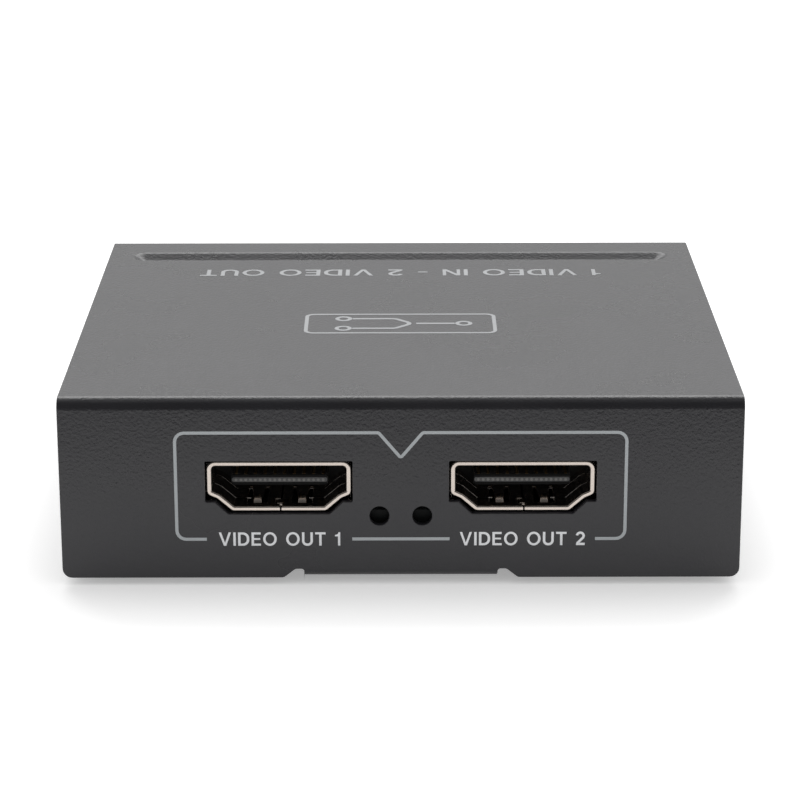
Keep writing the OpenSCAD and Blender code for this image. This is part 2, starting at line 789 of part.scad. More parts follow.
module jack_housing() {
    half = leaf_w / 2 + leaf_gap;
    color([0.07, 0.07, 0.07]) at_jack() difference() {
        span([-pocket_x - jack_wall, 0, 0], [bore_r + jack_wall, jack_len, jack_h]);
        along_y(-cut, jack_bore_len + cut) translate([0, jack_axis_h]) circle(bore_r);
        translate([0, 0, jack_axis_h])
            span([-pocket_x, leaf_tip - 2 * leaf_gap, -half], [0, pocket_back, half]);
        along_y(0, jack_len + cut) translate([0, jack_axis_h]) circle(pin_root_d / 2 + pin_gap);
        eye_leg(leg_gap);
    }
}

module jack_centre_pin() {
    shaft = jack_pin_set + jack_pin_slant;
    color([0.8, 0.78, 0.74]) at_jack() {
        translate([0, 0, jack_axis_h]) rotate([-90, 0, 0]) {
            translate([0, 0, jack_pin_set])
                cylinder(r1 = pin_r - jack_pin_slant, r2 = pin_r, h = jack_pin_slant);
            translate([0, 0, shaft]) cylinder(r = pin_r, h = jack_bore_len - shaft);
            translate([0, 0, jack_bore_len]) cylinder(d = pin_root_d, h = jack_len - jack_bore_len);
        }
        pin_leg(0);
    }
}

// Leaf spring: a strip that bends into the bore and turns about its rolled root
module jack_leaf_spring() {
    bend_x = -(bore_r - leaf_bite);
    color([0.82, 0.72, 0.45]) at_jack() translate([0, 0, jack_axis_h - leaf_w / 2]) {
        translate([-root_x, leaf_root, 0]) cylinder(r = root_r, h = leaf_w);
        linear_extrude(leaf_w) polygon([
            [-root_x, leaf_root], [-root_x - leaf_t, leaf_root],
            [bend_x - leaf_t, leaf_bend], [-bore_r - leaf_t, leaf_tip],
            [-bore_r, leaf_tip], [bend_x, leaf_bend]
        ]);
    }
}

// The eye is open towards the mouth, where the leaf spring leaves it
module jack_sleeve_terminal() {
    color([0.8, 0.78, 0.74]) at_jack() {
        translate([-root_x, leaf_root, jack_axis_h - leaf_w / 2]) difference() {
            cylinder(r = eye_r, h = leaf_w);
            translate([0, 0, -cut]) cylinder(r = root_r + root_gap, h = leaf_w + 2 * cut);
            span([-root_r - root_gap, -eye_r - cut, -cut], [root_r + root_gap, 0, leaf_w + cut]);
        }
        eye_leg(0);
    }
}

// Bent leads in a row along y, on the +X side of a chip's body
module leads(body_half, height, count, pitch, w) {
    reach = lead_size.x;
    t = lead_size.y;
    for (i = [0:count - 1]) translate([0, (i - (count - 1) / 2) * pitch + w / 2, 0])
        rotate([90, 0, 0]) linear_extrude(w) polygon([
            [body_half - t, height / 2], [body_half + reach / 2, height / 2], [body_half + reach / 2, t],
            [body_half + reach, t], [body_half + reach, 0], [body_half + reach / 2 - t, 0],
            [body_half + reach / 2 - t, height / 2 - t], [body_half - t, height / 2 - t]
        ]);
}

// Small part with a metal cap at each end, lying along x
module capped(size) {
    translate([0, 0, end_cap_t]) standing(size - [0, 2 * end_cap_t, 2 * end_cap_t]);
    mirrored_x() translate([(size.x - end_cap) / 2, 0, 0]) standing([end_cap, size.y, size.z]);
}

module on_board(x, y) {
    translate([x, y, board_top]) children();
}

module splitter_chip() {
    color([0.1, 0.1, 0.1]) on_board(0, chip_y) standing(chip_size);
}

module memory_chips() {
    color([0.1, 0.1, 0.1]) for (x = [-1, 1] * memory_x) on_board(x, chip_y) {
        translate([0, 0, lead_size.y]) standing(memory_size - [0, 0, lead_size.y]);
        mirrored_x() leads(memory_size.x / 2, memory_size.z, memory_leads, memory_pitch, memory_lead_w);
    }
}

// Surge arrays stand in pairs behind each port's contacts
module surge_arrays() {
    behind = tail_end + part_gap + surge_size.y / 2;
    color([0.12, 0.12, 0.12]) for (x = [-1, 1] * surge_size.x) {
        for (side = [-1, 1]) on_board(side * port_pitch / 2 + x, out_y + behind) standing(surge_size);
        on_board(in_x + x, in_y - behind) standing(surge_size);
    }
}

module voltage_regulators() {
    color([0.1, 0.1, 0.1]) for (y = [regulator_y, regulator_rear_y]) on_board(jack_x, y) {
        translate([0, 0, lead_size.y]) standing(regulator_size - [0, 0, lead_size.y]);
        leads(regulator_size.x / 2, regulator_size.z, 3, regulator_pitch, regulator_lead_w);
        mirror([1, 0, 0]) leads(regulator_size.x / 2, regulator_size.z, 1, 0, regulator_tab_w);
    }
}

// Square moulded body with its corners cut off
module power_inductor() {
    w = inductor_size.x;
    color([0.25, 0.25, 0.26]) on_board(jack_x + regulator_reach + w / 2, regulator_rear_y) intersection() {
        standing([w, w, inductor_size.y]);
        rotate([0, 0, 45]) standing([inductor_across, inductor_across, inductor_size.y]);
    }
}

module clock_crystal() {
    color([0.78, 0.78, 0.8]) on_board(crystal_x, chip_y + crystal_back) {
        linear_extrude(crystal_rim) rotate(90)
            slot(crystal_size.y + 2 * crystal_rim, crystal_size.x + 2 * crystal_rim);
        linear_extrude(crystal_size.z) rotate(90) slot(crystal_size.y, crystal_size.x);
    }
}

module bulk_capacitor() {
    standing([bulk_size.x, bulk_size.x, bulk_base]);
    cylinder(d = bulk_size.x, h = bulk_size.y);
}

// One capacitor stands beside the jack and one beside the regulators
module bulk_capacitors() {
    color([0.75, 0.75, 0.77]) {
        on_board(jack_x + jack_reach + bulk_size.x / 2, in_y - jack_len / 2) bulk_capacitor();
        on_board(jack_x - regulator_reach - bulk_size.x / 2, regulator_rear_y) bulk_capacitor();
    }
}

// A row of ceramic capacitors along each side of the main chip
module ceramic_capacitors() {
    away = part_gap + ceramic_size.y / 2;
    color([0.62, 0.5, 0.36]) for (side = [0:3], i = [-1:1]) {
        half = (side % 2 == 0 ? chip_size.y : chip_size.x) / 2;
        on_board(0, chip_y) rotate([0, 0, 90 * side])
            translate([i * small_step, half + away, 0]) capped(ceramic_size);
    }
}

// A row of resistors behind each memory chip
module chip_resistors() {
    behind = memory_size.y / 2 + part_gap + resistor_size.y / 2;
    color([0.12, 0.12, 0.14]) for (x = [-1, 1] * memory_x, i = [-1:1])
        on_board(x + i * small_step, chip_y + behind) capped(resistor_size);
}

module status_lights() {
    color([0.9, 0.92, 0.9]) mirrored_x()
        on_board(light_x, board_front + light_back + light_size.y / 2) standing(light_size);
}

top_cover();
base_tray();
cover_screws();
rubber_feet();
board_standoffs();
board_screws();
circuit_board();
out_1_shell();
out_1_insulator();
out_1_contacts();
out_2_shell();
out_2_insulator();
out_2_contacts();
in_shell();
in_insulator();
in_contacts();
jack_housing();
jack_centre_pin();
jack_leaf_spring();
jack_sleeve_terminal();
splitter_chip();
memory_chips();
surge_arrays();
voltage_regulators();
power_inductor();
clock_crystal();
bulk_capacitors();
ceramic_capacitors();
chip_resistors();
status_lights();
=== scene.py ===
# %% [markdown]
# # A two-way video splitter in a folded steel case
# The object is a small desktop box. One powder-coated sheet makes the top, front and rear, a second one
# makes the floor and the two sides. Two video outputs look out of the front, one input and a power jack
# out of the rear. The packed CAD model is the frame of this scene: it holds every solid at its real size
# and place, in metres. Each cell below dresses one part of it.

# %% Load the frame
import json
import math

import bmesh
import bpy
from mathutils import Matrix, Vector


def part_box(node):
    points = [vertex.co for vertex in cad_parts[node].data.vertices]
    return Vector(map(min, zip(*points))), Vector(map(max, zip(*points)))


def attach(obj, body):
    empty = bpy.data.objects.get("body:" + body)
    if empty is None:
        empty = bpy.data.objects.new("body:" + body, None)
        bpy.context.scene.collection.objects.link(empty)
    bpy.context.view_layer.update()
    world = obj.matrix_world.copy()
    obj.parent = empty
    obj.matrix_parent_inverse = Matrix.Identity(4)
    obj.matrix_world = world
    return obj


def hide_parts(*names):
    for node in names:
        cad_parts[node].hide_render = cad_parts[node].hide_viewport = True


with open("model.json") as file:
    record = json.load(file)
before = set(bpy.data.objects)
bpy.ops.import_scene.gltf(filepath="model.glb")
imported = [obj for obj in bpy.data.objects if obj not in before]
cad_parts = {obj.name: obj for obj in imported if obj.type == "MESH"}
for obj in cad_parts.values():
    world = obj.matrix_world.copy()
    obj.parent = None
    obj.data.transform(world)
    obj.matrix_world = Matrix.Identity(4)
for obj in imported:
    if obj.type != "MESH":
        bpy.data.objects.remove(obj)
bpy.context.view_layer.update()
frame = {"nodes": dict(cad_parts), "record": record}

scene = bpy.context.scene
scene.view_settings.view_transform = "Standard"
print("nodes in the frame:", len(frame["nodes"]))

# %% [markdown]
# Blender measures in metres, but a port's rim is a third of a millimetre thick. Curves and merges have
# fixed tolerances that are coarse at that size, so the pieces are shaped in millimetres and scaled down
# at the very end. The main sizes are read from the frame, so the looks follow the CAD model.

# %% Sizes in millimetres
MM = 0.001


def box_mm(node):
    """Lowest and highest corner of a CAD node, in millimetres."""
    return tuple(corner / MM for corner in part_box(node))


cover_low, cover_high = box_mm("top_cover")
tray_low, tray_high = box_mm("base_tray")
side_x, front_y, rear_y = cover_high.x, cover_low.y, cover_high.y
skirt_z, top_z, tray_z = cover_low.z, cover_high.z, tray_low.z
sheet_t = box_mm("board_standoffs")[0].z - tray_z
print(f"case {2 * side_x:.1f} x {rear_y - front_y:.1f} x {top_z - skirt_z:.1f} mm, sheet {sheet_t:.2f} mm")

# %% [markdown]
# The camera comes first. The photograph was taken with a long lens from straight in front and a little
# above. Lens, distance and tilt were fitted to the corners of the top, which shrink towards the rear by an
# amount that only one distance explains.

# %% Camera
CAMERA_LENS = 128.47
CAMERA_AHEAD, CAMERA_RISE, CAMERA_SIDE = 275.85, 107.29, -0.066
CAMERA_TILT, CAMERA_ROLL = 17.693, -0.0019

camera_data = bpy.data.cameras.new("photo_camera")
camera_data.sensor_width, camera_data.lens = 36, CAMERA_LENS
camera_data.clip_start = 0.01
camera = bpy.data.objects.new("photo_camera", camera_data)
scene.collection.objects.link(camera)
tilted = Matrix.Rotation(math.radians(90 - CAMERA_TILT), 4, "X") @ Matrix.Rotation(CAMERA_ROLL, 4, "Z")
camera_place = Vector((CAMERA_SIDE, front_y - CAMERA_AHEAD, skirt_z + CAMERA_RISE)) * MM
camera.matrix_world = Matrix.Translation(camera_place) @ tilted
scene.camera = camera
print("camera stands", [round(c, 3) for c in camera_place], "m")

# %% [markdown]
# Materials are node trees. Three small helpers keep the cells short: one adds a node and sets its inputs,
# one does arithmetic on sockets, and one makes a soft step between two levels. A socket is named by its
# label, as it is in Blender's own editor.

# %% Node helpers


def add_node(tree, kind, settings=None, **inputs):
    """New node of a kind, with its settings and the default values of its inputs."""
    node = tree.nodes.new("ShaderNode" + kind)
    for name, value in (settings or {}).items():
        setattr(node, name, value)
    for name, value in inputs.items():
        node.inputs[name].default_value = value
    return node


def math_node(tree, operation, first, second=0.0, clamp=False):
    """Math node on two sockets or numbers; gives its output socket."""
    node = add_node(tree, "Math", {"operation": operation, "use_clamp": clamp})
    for socket, value in zip(node.inputs, (first, second)):
        if isinstance(value, (int, float)):
            socket.default_value = value
        else:
            tree.links.new(value, socket)
    return node.outputs[0]


def ramp(tree, value, low, high, to_low=0.0, to_high=1.0):
    """Smooth step from to_low to to_high while value goes from low to high."""
    node = add_node(tree, "MapRange", {"interpolation_type": "SMOOTHSTEP"})
    tree.links.new(value, node.inputs["Value"])
    for name, number in zip(("From Min", "From Max", "To Min", "To Max"), (low, high, to_low, to_high)):
        node.inputs[name].default_value = number
    return node.outputs["Result"]


print("node helpers ready")

# %% [markdown]
# A studio shot like this has a white table, a white wall behind it and one large soft lamp above the wall.
# The black paint shows almost nothing of its own: its top mirrors the bright wall at a low angle, and its
# front mirrors the table. So the world is white where the camera looks at it, a pale grey in a mirror,
# and softer as a source of light. Towards the camera a studio gets dark, and a bend shows that as a line.

# %% World
AMBIENT = 0.67
DARK_SIDE, DARK_FROM, DARK_TO, WALL_SHADE = 0.10, -0.75, 0.50, 0.22

world = bpy.data.worlds.new("studio")
world.use_nodes = True
scene.world = world
tree = world.node_tree
background = tree.nodes["Background"]
path = add_node(tree, "LightPath")
direction = add_node(tree, "SeparateXYZ")
tree.links.new(add_node(tree, "TexCoord").outputs["Generated"], direction.inputs[0])
dark_side = ramp(tree, direction.outputs["Y"], DARK_FROM, DARK_TO, 1.0, WALL_SHADE)
in_mirror = math_node(tree, "MULTIPLY", dark_side, path.outputs["Is Glossy Ray"])
seen = math_node(tree, "ADD", path.outputs["Is Camera Ray"], path.outputs["Is Glossy Ray"])
seen = math_node(tree, "ADD", seen, path.outputs["Is Transmission Ray"], clamp=True)
level = math_node(tree, "ADD", math_node(tree, "MULTIPLY", seen, 1 - AMBIENT), AMBIENT)
shade = math_node(tree, "SUBTRACT", 1.0, math_node(tree, "MULTIPLY", in_mirror, 1 - DARK_SIDE))
tree.links.new(math_node(tree, "MULTIPLY", level, shade), background.inputs["Strength"])
background.inputs["Color"].default_value = (1, 1, 1, 1)
print("world: ambient light", AMBIENT, "and a white background")

# %% [markdown]
# The lamp is a soft box behind and above the object. Its reflection is the bright line along the folded
# front edge of the top, and its shadow falls forwards. The floor is a plain sheet that ends a little in
# front of the object: the dark of the room beyond it is what the upper part of the front mirrors.

# %% Lamp and floor
LAMP_WATTS, LAMP_PLACE, LAMP_WIDTH, LAMP_HEIGHT = 3.6, (0.0, 0.515, 0.572), 0.80, 0.45
FLOOR_HALF, FLOOR_AHEAD = 4.0, 0.066

lamp_data = bpy.data.lights.new("soft_box", "AREA")
lamp_data.shape, lamp_data.size, lamp_data.size_y = "RECTANGLE", LAMP_WIDTH, LAMP_HEIGHT
lamp_data.energy = LAMP_WATTS
lamp = bpy.data.objects.new("soft_box", lamp_data)
lamp.location = LAMP_PLACE
lamp.rotation_euler = (-Vector(LAMP_PLACE)).to_track_quat("-Z", "Y").to_euler()
scene.collection.objects.link(lamp)

floor_data = bpy.data.meshes.new("floor")
floor_near = front_y * MM - FLOOR_AHEAD
floor_corners = [(side * FLOOR_HALF, y, 0) for side, y in (
    (-1, floor_near), (1, floor_near), (1, FLOOR_HALF), (-1, FLOOR_HALF))]
floor_data.from_pydata(floor_corners, [], [(0, 1, 2, 3)])
floor = bpy.data.objects.new("floor", floor_data)
scene.collection.objects.link(floor)
print("lamp", LAMP_WATTS, "W, floor", 2 * FLOOR_HALF, "m wide")

# %% [markdown]
# The floor is matt and nearly white, and keeps the object's shadow. It glows a little where it is looked
# at, and so runs into the white background without a horizon. Its glow is weaker beside the object's
# footprint than away from it, which is a painted shadow round the object. The distance from the footprint
# comes from the floor's own coordinates. From below the floor is clear.

# %% Floor finish
FLOOR_TONE, FLOOR_FILL, FLOOR_FAR_FILL, PAINTED_SHADOW_FADE = 0.90, 0.328, 0.505, 0.014

floor_finish = bpy.data.materials.new("studio_floor")
floor_finish.use_nodes = True
tree = floor_finish.node_tree
tree.nodes.remove(tree.nodes["Principled BSDF"])
matt = add_node(tree, "BsdfDiffuse", Color=(FLOOR_TONE, FLOOR_TONE, FLOOR_TONE, 1))
path = add_node(tree, "LightPath")
seen = math_node(tree, "ADD", path.outputs["Is Camera Ray"], path.outputs["Is Glossy Ray"], clamp=True)
away = add_node(tree, "TexCoord").outputs["Object"]
footprint = (side_x * MM, -front_y * MM, 0.0)
steps = (("ABSOLUTE", None), ("SUBTRACT", footprint), ("MAXIMUM", (0, 0, 0)), ("LENGTH", None))
for operation, operand in steps:
    node = add_node(tree, "VectorMath", {"operation": operation})
    tree.links.new(away, node.inputs[0])
    if operand:
        node.inputs[1].default_value = operand
    away = node.outputs["Value" if operation == "LENGTH" else "Vector"]
# Painted shadow: the glow rises from its level beside the footprint to its level away from it.
glow_and_painted_shadow = ramp(tree, away, 0.0, PAINTED_SHADOW_FADE, FLOOR_FILL, FLOOR_FAR_FILL)
glow = add_node(tree, "Emission")
tree.links.new(math_node(tree, "MULTIPLY", glow_and_painted_shadow, seen), glow.inputs["Strength"])
lit = add_node(tree, "AddShader")
tree.links.new(matt.outputs[0], lit.inputs[0])
tree.links.new(glow.outputs[0], lit.inputs[1])
clear_below = add_node(tree, "MixShader")
tree.links.new(add_node(tree, "NewGeometry").outputs["Backfacing"], clear_below.inputs[0])
tree.links.new(lit.outputs[0], clear_below.inputs[1])
tree.links.new(add_node(tree, "BsdfTransparent").outputs[0], clear_below.inputs[2])
tree.links.new(clear_below.outputs[0], tree.nodes["Material Output"].inputs["Surface"])
floor_data.materials.append(floor_finish)
print("floor glows", FLOOR_FILL, "beside the object and", FLOOR_FAR_FILL, "away from it")

# %% [markdown]
# Three effects come back in many finishes, so each is a node group. Fine grain is the texture of powder
# coat, moulded plastic and rubber: a small bump, and a slow drift of tone. Both are noise on the object's
# own coordinates, so they stay put on the surface, and their sizes are given in millimetres.

# %% Node group: fine grain


def new_group(name, inputs, outputs):
    """Empty shader node group with named float inputs and outputs."""
    group = bpy.data.node_groups.new(name, "ShaderNodeTree")
    for socket, value in inputs.items():
        entry = group.interface.new_socket(socket, in_out="INPUT", socket_type="NodeSocketFloat")
        entry.default_value = value
    for socket in outputs:
        group.interface.new_socket(socket, in_out="OUTPUT", socket_type="NodeSocketFloat")
    return group, group.nodes.new("NodeGroupInput"), group.nodes.new("NodeGroupOutput")


def object_noise(group, size, detail):
    """Noise on the object's coordinates, whose size in millimetres comes from a socket."""
    noise = add_node(group, "TexNoise", Detail=detail)
    group.links.new(add_node(group, "TexCoord").outputs["Object"], noise.inputs["Vector"])
    group.links.new(math_node(group, "DIVIDE", 1 / MM, size), noise.inputs["Scale"])
    return noise.outputs["Fac"]


fine_grain, given, made = new_group("fine_grain", {"Size mm": 0.3, "Drift mm": 12.0}, ["Height", "Mottle"])
for size, output, detail in (("Size mm", "Height", 2.0), ("Drift mm", "Mottle", 3.0)):
    fine_grain.links.new(object_noise(fine_grain, given.outputs[size], detail), made.inputs[output])
print("fine grain:", len(fine_grain.nodes), "nodes")

# %% [markdown]
# Edge rub is what handling does to an edge. It compares the true normal with a rounded one, which differ
# only along edges, and breaks the line up with patches of noise.

# %% Node group: edge rub
edge_rub, given, made = new_group("edge_rub", {"Radius mm": 0.15, "Patch mm": 0.8}, ["Mask"])
rounded = add_node(edge_rub, "Bevel", {"samples": 4})
rounding = math_node(edge_rub, "MULTIPLY", given.outputs["Radius mm"], MM)
edge_rub.links.new(rounding, rounded.inputs["Radius"])
facing = add_node(edge_rub, "VectorMath", {"operation": "DOT_PRODUCT"})
edge_rub.links.new(rounded.outputs[0], facing.inputs[0])
edge_rub.links.new(add_node(edge_rub, "NewGeometry").outputs["Normal"], facing.inputs[1])
edge = ramp(edge_rub, facing.outputs["Value"], 0.80, 0.98, 1.0, 0.0)
patches = ramp(edge_rub, object_noise(edge_rub, given.outputs["Patch mm"], 2.0), 0.35, 0.65)
edge_rub.links.new(math_node(edge_rub, "MULTIPLY", edge, patches), made.inputs["Mask"])
print("edge rub:", len(edge_rub.nodes), "nodes")

# %% [markdown]
# Drawn lines are the faint parallel streaks that rolling or drawing leaves in metal. They are noise too,
# stretched along one axis: each coordinate is divided by the size that a streak has in that direction.

# %% Node group: drawn lines
drawn_lines, given, made = new_group(
    "drawn_lines", {"Width mm": 0.05, "Length mm": 2.0}, ["Height", "Tone"])
split = add_node(drawn_lines, "SeparateXYZ")
drawn_lines.links.new(add_node(drawn_lines, "TexCoord").outputs["Object"], split.inputs[0])
stretched = add_node(drawn_lines, "CombineXYZ")
for axis, size in (("X", "Width mm"), ("Y", "Length mm"), ("Z", "Width mm")):
    per_mm = math_node(drawn_lines, "MULTIPLY", split.outputs[axis], 1 / MM)
    shrunk = math_node(drawn_lines, "DIVIDE", per_mm, given.outputs[size])
    drawn_lines.links.new(shrunk, stretched.inputs[axis])
for output, detail in (("Height", 2.0), ("Tone", 0.0)):
    streaks = add_node(drawn_lines, "TexNoise", Scale=1.0, Detail=detail)
    drawn_lines.links.new(stretched.outputs[0], streaks.inputs["Vector"])
    drawn_lines.links.new(streaks.outputs["Fac"], made.inputs[output])
print("node groups:", [group.name for group in bpy.data.node_groups])

# %% [markdown]
# Every finish on this object is one recipe with its own numbers: a base colour that drifts between two
# tones, a roughness that drifts with it, a fine bump, and edges that turn to a third tone where they are
# rubbed. Metals swap the grain for drawn lines. The recipe is a function, and the Principled shader stays
# in the material itself, where the values that are the same all over are set on its own sockets.

# %% The recipe for a finish


def mixed(tree, share, first, second):
    """Colour socket that goes from first to second by a share between 0 and 1."""
    node = add_node(tree, "Mix", {"data_type": "RGBA"})
    tree.links.new(share, node.inputs["Factor"])
    for index, colour in ((6, first), (7, second)):
        if isinstance(colour, tuple):
            node.inputs[index].default_value = (*colour, 1)
        else:
            tree.links.new(colour, node.inputs[index])
    return node.outputs[2]


def placed_group(tree, group, **inputs):
    """The group as a node; an underscore in an input's name stands for a blank."""
    node = tree.nodes.new("ShaderNodeGroup")
    node.node_tree = group
    for name, value in inputs.items():
        node.inputs[name.replace("_", " ")].default_value = value
    return node


def finish(name, tones, rough, metal=0.0, grain=0.3, lines=None, bump=0.01, rub=None, rub_radius=0.15,
           **sockets):
    """Material whose tone and roughness drift between two values, with a bump of the given depth in mm."""
    material = bpy.data.materials.new(name)
    material.use_nodes = True
    tree = material.node_tree
    shader = tree.nodes["Principled BSDF"]
    shader.inputs["Metallic"].default_value = metal
    for socket, value in sockets.items():
        shader.inputs[socket].default_value = value
    if lines:
        texture = placed_group(tree, drawn_lines, Width_mm=lines[0], Length_mm=lines[1])
    else:
        texture = placed_group(tree, fine_grain, Size_mm=grain)
    drift = ramp(tree, texture.outputs["Tone" if lines else "Mottle"], 0.3, 0.7)
    colour = mixed(tree, drift, *tones)
    roughness = ramp(tree, drift, 0.0, 1.0, *rough)
    if rub:
        mask = placed_group(tree, edge_rub, Radius_mm=rub_radius).outputs["Mask"]
        colour = mixed(tree, mask, colour, rub)
    tree.links.new(colour, shader.inputs["Base Color"])
    tree.links.new(roughness, shader.inputs["Roughness"])
    relief = add_node(tree, "Bump", Distance=bump * MM)
    tree.links.new(texture.outputs["Height"], relief.inputs["Height"])
    tree.links.new(relief.outputs[0], shader.inputs["Normal"])
    return material


print("finish recipe ready")

# %% [markdown]
# The case has a satin black powder coat. Powder melts into a skin with a fine orange peel, a few tenths
# of a millimetre across, that breaks up the bright line on the front bend. At edges the skin is thinner
# and a little lighter. The tones are nearly black: what looks grey in the picture is reflection.

# %% Paint
case_paint = finish(
    "case_paint", ((0.0158, 0.0153, 0.0182), (0.0184, 0.0178, 0.0212)), (0.27, 0.30),
    grain=0.30, bump=0.034, rub=(0.030, 0.030, 0.032), rub_radius=0.12, IOR=1.5,
)
print("paint:", case_paint.name)

# %% [markdown]
# Both sheets of the case start as flat blanks, as in the workshop: the outline and its holes are cut, the
# sheet is scored where it will bend, grooves are pressed, and then the flanges are folded. Done this way,
# the bends have the true radius, the holes sit square in their walls, and the sheet has one thickness.
# These helpers draw the outlines that are cut.

# %% Outlines


def rounded_outline(corners, steps=5, closed=True):
    """Outline or open path through corners (x, y, radius), each rounded to its own radius."""
    points = []
    for i, (x, y, radius) in enumerate(corners):
        here = Vector((x, y))
        if not closed and i in (0, len(corners) - 1):
            points.append(tuple(here))
            continue
        back = (Vector(corners[i - 1][:2]) - here).normalized()
        on = (Vector(corners[(i + 1) % len(corners)][:2]) - here).normalized()
        half = back.angle(on) / 2
        if radius <= 0 or half > math.radians(89.9):
            points.append(tuple(here))
            continue
        centre = here + (back + on).normalized() * radius / math.sin(half)
        first = here + back * radius / math.tan(half) - centre
        last = here + on * radius / math.tan(half) - centre
        sweep = first.angle_signed(last)
        for k in range(steps + 1):
            turn = Matrix.Rotation(-sweep * k / steps, 2)
            points.append(tuple(centre + turn @ first))
    return points


def oval(x, y, x_radius, y_radius, start=0.0, sweep=360.0, count=48):
    """Round outline, or an arc of it, with its angles in degrees."""
    points = count if abs(sweep) >= 360 else count + 1
    turns = (math.radians(start + sweep * k / count) for k in range(points))
    return [(x + x_radius * math.cos(t), y + y_radius * math.sin(t)) for t in turns]


def circle(x, y, radius, count=48):
    """Round outline of one radius."""
    return oval(x, y, radius, radius, count=count)


def both_sides(half):
    """Half an outline (x, y, radius) on the +X side, completed by its mirror image."""
    return half + [(-x, *rest) for x, *rest in reversed(half)]


def plate_outline(x, y, wide, high, radius, steps=5):
    """Rounded rectangle about a point."""
    corners = [(-1, -1), (1, -1), (1, 1), (-1, 1)]
    return rounded_outline([(x + sx * wide / 2, y + sy * high / 2, radius) for sx, sy in corners], steps)


print("a rounded rectangle has", len(plate_outline(0, 0, 9, 9, 1)), "points")

# %% [markdown]
# A blank could be cut with booleans, but a filled 2-D curve does it in one step: its inner loops become
# holes, and its bevel rounds every cut edge as deburring does. The curve is turned into a mesh and removed.

# %% Flat blanks


def flat_blank(outline, holes, thickness, edge, rounds=1):
    """Sheet cut from a 2-D curve, with its outer face on z = 0 and its cut edges rounded."""
    curve = bpy.data.curves.new("blank", "CURVE")
    curve.dimensions, curve.fill_mode = "2D", "BOTH"
    curve.extrude, curve.bevel_depth = thickness / 2 - edge, edge
    curve.offset, curve.bevel_resolution = -edge, rounds
    for loop in (outline, *holes):
        spline = curve.splines.new("POLY")
        spline.points.add(len(loop) - 1)
        for point, (x, y) in zip(spline.points, loop):
            point.co = (x, y, 0, 1)
        spline.use_cyclic_u = True
    holder = bpy.data.objects.new("blank", curve)
    scene.collection.objects.link(holder)
    graph = bpy.context.evaluated_depsgraph_get()
    data = bpy.data.meshes.new_from_object(holder.evaluated_get(graph))
    sheet = bmesh.new()
    sheet.from_mesh(data)
    bpy.data.objects.remove(holder)
    bpy.data.curves.remove(curve)
    bpy.data.meshes.remove(data)
    bmesh.ops.translate(sheet, verts=sheet.verts, vec=(0, 0, -thickness / 2))
    bmesh.ops.remove_doubles(sheet, verts=sheet.verts, dist=1e-4)
    bmesh.ops.recalc_face_normals(sheet, faces=sheet.faces)
    return sheet


washer = flat_blank(circle(0, 0, 7, 12), [circle(0, 0, 2, 12)], 0.8, 0.1)
print("a washer with twelve corners has", len(washer.faces), "faces")
washer.free()

# %% [markdown]
# A fold maps the flat sheet onto an arc and turns what lies beyond it. With an outer radius R, a point at
# distance s past the fold line and at depth w below the outer face goes to the angle s / R on a circle of
# radius R - w, so the outer face keeps its length. A negative radius bends the sheet the other way.
# Folds are applied from the outermost one inwards, as a bender would do them.

# %% Folded sheets


class FoldedSheet:
    """A blank that is scored, pressed and folded, in millimetres.

    A reach keeps a score or a fold within (x low, x high, y low, y high) on the blank.
    """

    def __init__(self, outline, holes, thickness, edge, rounds=1):
        self.mesh = flat_blank(outline, holes, thickness, edge, rounds)
        self.folds, self.presses = [], []

    def score(self, axis, place, reach=None):
        """Cuts the faces in reach along a line across an axis, so that they can bend there."""
        normal = Vector((1, 0, 0)) if axis == 0 else Vector((0, 1, 0))
        faces = list(self.mesh.faces)
        if reach:
            spans = [[(min(c), max(c)) for c in zip(*(v.co[:2] for v in f.verts))] for f in faces]
            faces = [f for f, ((x0, x1), (y0, y1)) in zip(faces, spans)
                     if x1 > reach[0] and x0 < reach[1] and y1 > reach[2] and y0 < reach[3]]
        edges = dict.fromkeys(e for f in faces for e in f.edges)
        corners = dict.fromkeys(v for f in faces for v in f.verts)
        bmesh.ops.bisect_plane(
            self.mesh, geom=[*faces, *edges, *corners], dist=1e-5, plane_co=normal * place, plane_no=normal
        )

    def fold(self, axis, line, side, radius, degrees, steps=8, reach=None):
        """Bends what lies past a line, on one side of it, towards the inside of the sheet."""
        length = abs(radius) * math.radians(degrees)
        for k in range(steps + 1):
            self.score(axis, line + side * length * k / steps, reach)
        self.folds.append((axis, line, side, radius, math.radians(degrees), reach))

    def press(self, depth):
        """Sinks the sheet by depth(x, y), a function on the flat blank."""
        self.presses.append(depth)

    def shaped(self):
        """The finished mesh, with every press and fold made."""
        flat = {v: v.co.copy() for v in self.mesh.verts}
        for vert, at in flat.items():
            vert.co.z -= sum(depth(at.x, at.y) for depth in self.presses)
        for axis, line, side, radius, angle, reach in self.folds:
            turn, length = math.copysign(angle, radius), abs(radius) * angle
            for vert, at in flat.items():
                past = side * (at[axis] - line)
                meant = not reach or (reach[0] <= at.x <= reach[1] and reach[2] <= at.y <= reach[3])
                if past <= 0 or not meant:
                    continue
                high = vert.co.z + radius
                if past < length:
                    run, rise = high * math.sin(past / radius), high * math.cos(past / radius)
                else:
                    beyond = side * (vert.co[axis] - line) - length
                    run = beyond * math.cos(turn) + high * math.sin(turn)
                    rise = high * math.cos(turn) - beyond * math.sin(turn)
                vert.co[axis] = line + side * run
                vert.co.z = rise - radius
        bmesh.ops.dissolve_degenerate(self.mesh, dist=1e-4, edges=self.mesh.edges)
        bmesh.ops.dissolve_limit(
            self.mesh, angle_limit=math.radians(0.2), verts=self.mesh.verts, edges=self.mesh.edges
        )
        return self.mesh


print("a sheet can", [name for name in vars(FoldedSheet) if not name.startswith("_")])
